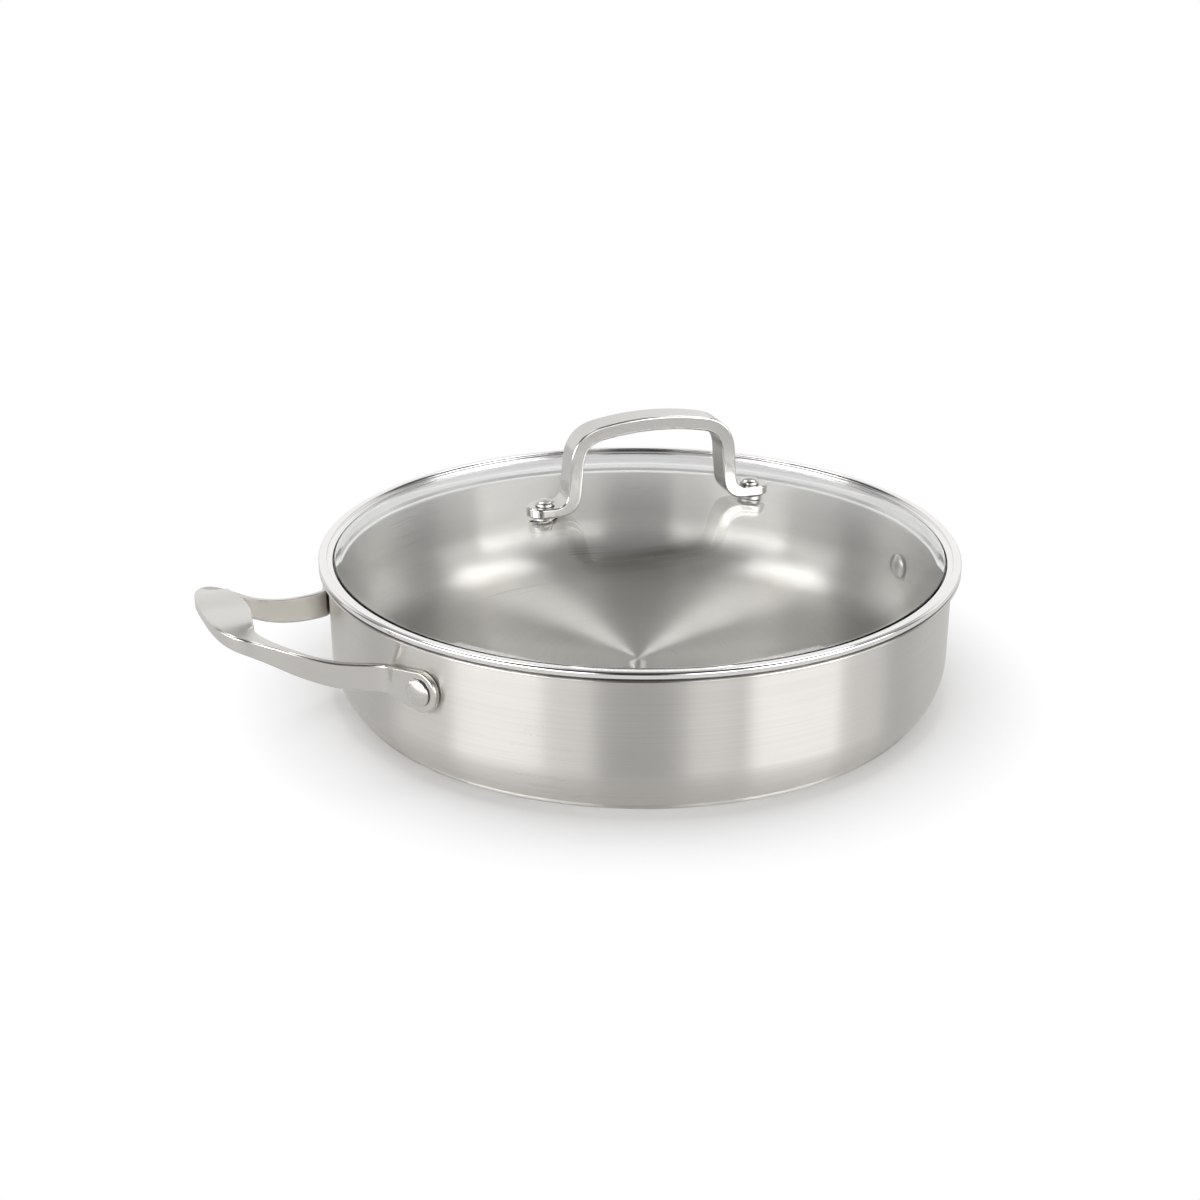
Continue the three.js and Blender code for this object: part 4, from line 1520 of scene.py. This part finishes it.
@dataclass
class Studio:
    """The floor, the surroundings, the lamps and the camera."""

    camera_place: tuple[float, float, float] = (0.0, -0.78216, 0.35618)
    camera_way: tuple[float, float, float] = (-0.02122, 0.92554, -0.37806)
    sensor: float = 36.0
    focal_pixels: float = 1813.53
    frame_pixels: float = 1200.0
    nearest_seen: float = 0.01
    aim: tuple[float, float, float] = (0.0, 0.0, 0.05)
    floor_size: float = 8.0
    floor_segments: int = 96
    floor_drop: float = 0.1 * MM
    # The floor's grey, shown only near the pan, is darker than the white beyond it: painted shade
    # that deepens the real shadow round the pan
    floor_shade: Colour = (0.79, 0.79, 0.79)
    floor_colour: Colour = (0.81, 0.81, 0.81)
    floor_mottle: float = 3.0
    floor_roughness: float = 0.9
    # Distances from the axis over which the floor fades from grey to white, and the curve of the
    # fade: together they paint part of the shadow's falloff
    painted_shadow_start: float = 0.142
    painted_shadow_end: float = 0.188
    painted_shadow_power: float = 0.55
    mirrored_share: float = 0.72
    # How bright the room is at each angle round from the viewer's side
    ring_stops: tuple[Point, ...] = (
        (0.0, 0.02),
        (9.0, 0.02),
        (15.0, 0.95),
        (62.0, 0.95),
        (90.0, 0.75),
        (98.0, 0.25),
        (107.0, 0.15),
        (120.0, 1.0),
        (180.0, 1.0),
    )
    # Where the walls give way to the roof, and its greys in front and behind
    roof_heights: Point = (0.42, 0.62)
    roof_greys: Point = (0.05, 0.4)
    roof_turn: float = 0.6
    # How much of the low room reaches what the glass covers, at each of those angles
    covered_stops: tuple[Point, ...] = (
        (0.0, 0.35),
        (100.0, 0.35),
        (112.0, 0.9),
        (143.0, 0.9),
        (155.0, 0.3),
        (180.0, 0.3),
    )
    covered_heights: Point = (0.36, 0.46)
    # Azimuth, elevation, distance, width, height and brightness of each
    lamps: tuple[Softbox, ...] = (
        Softbox("left_fill", -22.0, 13.0, 1.4, 0.38, 0.6, 2.1),
        Softbox("right_fill", 24.0, 13.0, 1.4, 0.38, 0.6, 2.1),
        Softbox("left_softbox", -47.0, 13.0, 1.35, 0.8, 0.62, 5.0),
        Softbox("right_softbox", 53.0, 13.0, 1.35, 0.8, 0.62, 5.0),
        Softbox("left_side", -78.0, 11.0, 1.5, 0.65, 0.6, 1.6),
        Softbox("right_side", 78.0, 11.0, 1.5, 0.65, 0.6, 1.6),
        Softbox("left_back", -128.0, 60.0, 1.5, 0.72, 0.45, 4.2),
        Softbox("right_back", 128.0, 60.0, 1.5, 0.72, 0.45, 4.2),
    )

    def build(self) -> None:
        """Sets up everything around the pan."""
        self.build_camera()
        self.build_floor()
        self.build_world()
        for lamp in self.lamps:
            lamp.build(Vector(self.aim))

    def build_camera(self) -> None:
        """Places the camera at the photograph's viewpoint."""
        camera = bpy.data.cameras.new("camera")
        camera.sensor_width = self.sensor
        camera.lens = self.sensor * self.focal_pixels / self.frame_pixels
        camera.clip_start = self.nearest_seen
        holder = bpy.data.objects.new("camera", camera)
        holder.location = self.camera_place
        holder.rotation_euler = Vector(self.camera_way).to_track_quat("-Z", "Y").to_euler()
        bpy.context.scene.collection.objects.link(holder)
        bpy.context.scene.camera = holder

    def build_floor(self) -> None:
        """Lays a wide pale floor just under the pan. It is grey, lit and shadowed near the pan, and
        fades to white beyond, a fade that paints part of the shadow's falloff.
        """
        shape = bmesh.new()
        bmesh.ops.create_circle(
            shape, cap_ends=True, radius=self.floor_size, segments=self.floor_segments
        )
        bmesh.ops.translate(shape, vec=(0.0, 0.0, -self.floor_drop), verts=shape.verts[:])
        floor = finished("floor", shape)
        material, board, shader = new_material("pale_floor")
        shader.inputs["Roughness"].default_value = self.floor_roughness
        shader.inputs["Specular IOR Level"].default_value = 0.0
        place = board.add("TexCoord").outputs["Object"]
        mottle = board.noise(place, self.floor_mottle)
        colour = board.tint(mottle, self.floor_shade, self.floor_colour)
        board.join(colour, shader.inputs["Base Color"])
        white = board.add("Emission")
        reach = board.add("VectorMath", operation="LENGTH")
        board.join(place, reach.inputs[0])
        path = board.add("LightPath")
        seen = board.maths("MAXIMUM", path.outputs["Is Camera Ray"], path.outputs["Is Glossy Ray"])
        seen = board.maths("MAXIMUM", seen, path.outputs["Is Transmission Ray"])
        # The fade into white paints part of the shadow's falloff round the pan
        far = board.spread(reach.outputs["Value"], self.painted_shadow_start, self.painted_shadow_end)
        far = board.maths("POWER", far, self.painted_shadow_power)
        lost = 1.0 - self.mirrored_share
        dimmed = board.maths("MULTIPLY", path.outputs["Is Glossy Ray"], lost)
        board.join(board.maths("SUBTRACT", 1.0, dimmed), white.inputs["Strength"])
        shown = board.maths("MULTIPLY", seen, far)
        board.blend(shown, shader, white, material.node_tree.nodes["Material Output"])
        floor.data.materials.append(material)

    @staticmethod
    def ramp_round(
        board: Board, share: bpy.types.NodeSocket, stops: Sequence[Point]
    ) -> bpy.types.NodeSocket:
        """Adds a ramp of greys round the room.

        Args:
            board: The world's nodes.
            share: Goes from 0 on the viewer's side to 1 behind the pan.
            stops: Angles from the viewer's side, each with its grey.

        Returns:
            The grey at the share.
        """
        ramp = board.add("ValToRGB")
        elements = ramp.color_ramp.elements
        while len(elements) < len(stops):
            elements.new(0.5)
        for element, (angle, grey) in zip(elements, stops):
            element.position = 0.5 - 0.5 * math.cos(math.radians(angle))
            element.color = (grey, grey, grey, 1.0)
        board.join(share, ramp.inputs["Fac"])
        return ramp.outputs["Color"]

    def build_world(self) -> None:
        """Makes white surroundings behind the pan and a dimmer room on the viewer's side."""
        world = bpy.data.worlds.new("studio")
        bpy.context.scene.world = world
        world.use_nodes = True
        board = Board(world.node_tree)
        room = world.node_tree.nodes["Background"]
        place = board.add("TexCoord")
        parts = board.add("SeparateXYZ")
        board.join(place.outputs["Generated"], parts.inputs[0])
        height = parts.outputs["Z"]
        level = board.maths("MAXIMUM", board.flat_length(parts), 0.001)
        turn = board.maths("DIVIDE", parts.outputs["Y"], level)
        share = board.spread(turn, -1.0, 1.0)
        ring = self.ramp_round(board, share, self.ring_stops)
        roof = board.spread(turn, -self.roof_turn, self.roof_turn, self.roof_greys)
        colour = board.tint(board.spread(height, *self.roof_heights), ring, roof)
        board.join(colour, room.inputs["Color"])
        path = board.add("LightPath")
        covered = board.maths("GREATER_THAN", path.outputs["Transmission Depth"], 0.5)
        passed = self.ramp_round(board, share, self.covered_stops)
        held_back = board.maths("SUBTRACT", 1.0, passed)
        low = board.spread(height, *self.covered_heights, (1.0, 0.0))
        dimming = board.maths("MULTIPLY", board.maths("MULTIPLY", covered, low), held_back)
        board.join(board.maths("SUBTRACT", 1.0, dimming), room.inputs["Strength"])
        white = board.add("Background")
        white.inputs["Color"].default_value = (1.0, 1.0, 1.0, 1.0)
        unbounced = board.maths("LESS_THAN", path.outputs["Glossy Depth"], 0.5)
        seen_through = board.maths("MULTIPLY", path.outputs["Is Transmission Ray"], unbounced)
        seen = board.maths("MAXIMUM", path.outputs["Is Camera Ray"], seen_through)
        board.blend(seen, room, white, world.node_tree.nodes["World Output"])


def main() -> None:
    """Builds the pan, the lid and the studio around the frame."""
    logging.basicConfig(level=logging.INFO, format="%(name)s: %(message)s")
    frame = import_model()
    bpy.context.scene.view_settings.view_transform = "Standard"
    pan = Pan()
    pan.build(frame["nodes"])
    loop = LoopHandle(pan)
    loop.build()
    Rivets(pan).build(loop)
    lid = Lid(pan)
    arch = ArchHandle(lid)
    lid.build(arch)
    arch.build()
    Studio().build()


if __name__ == "__main__":
    main()
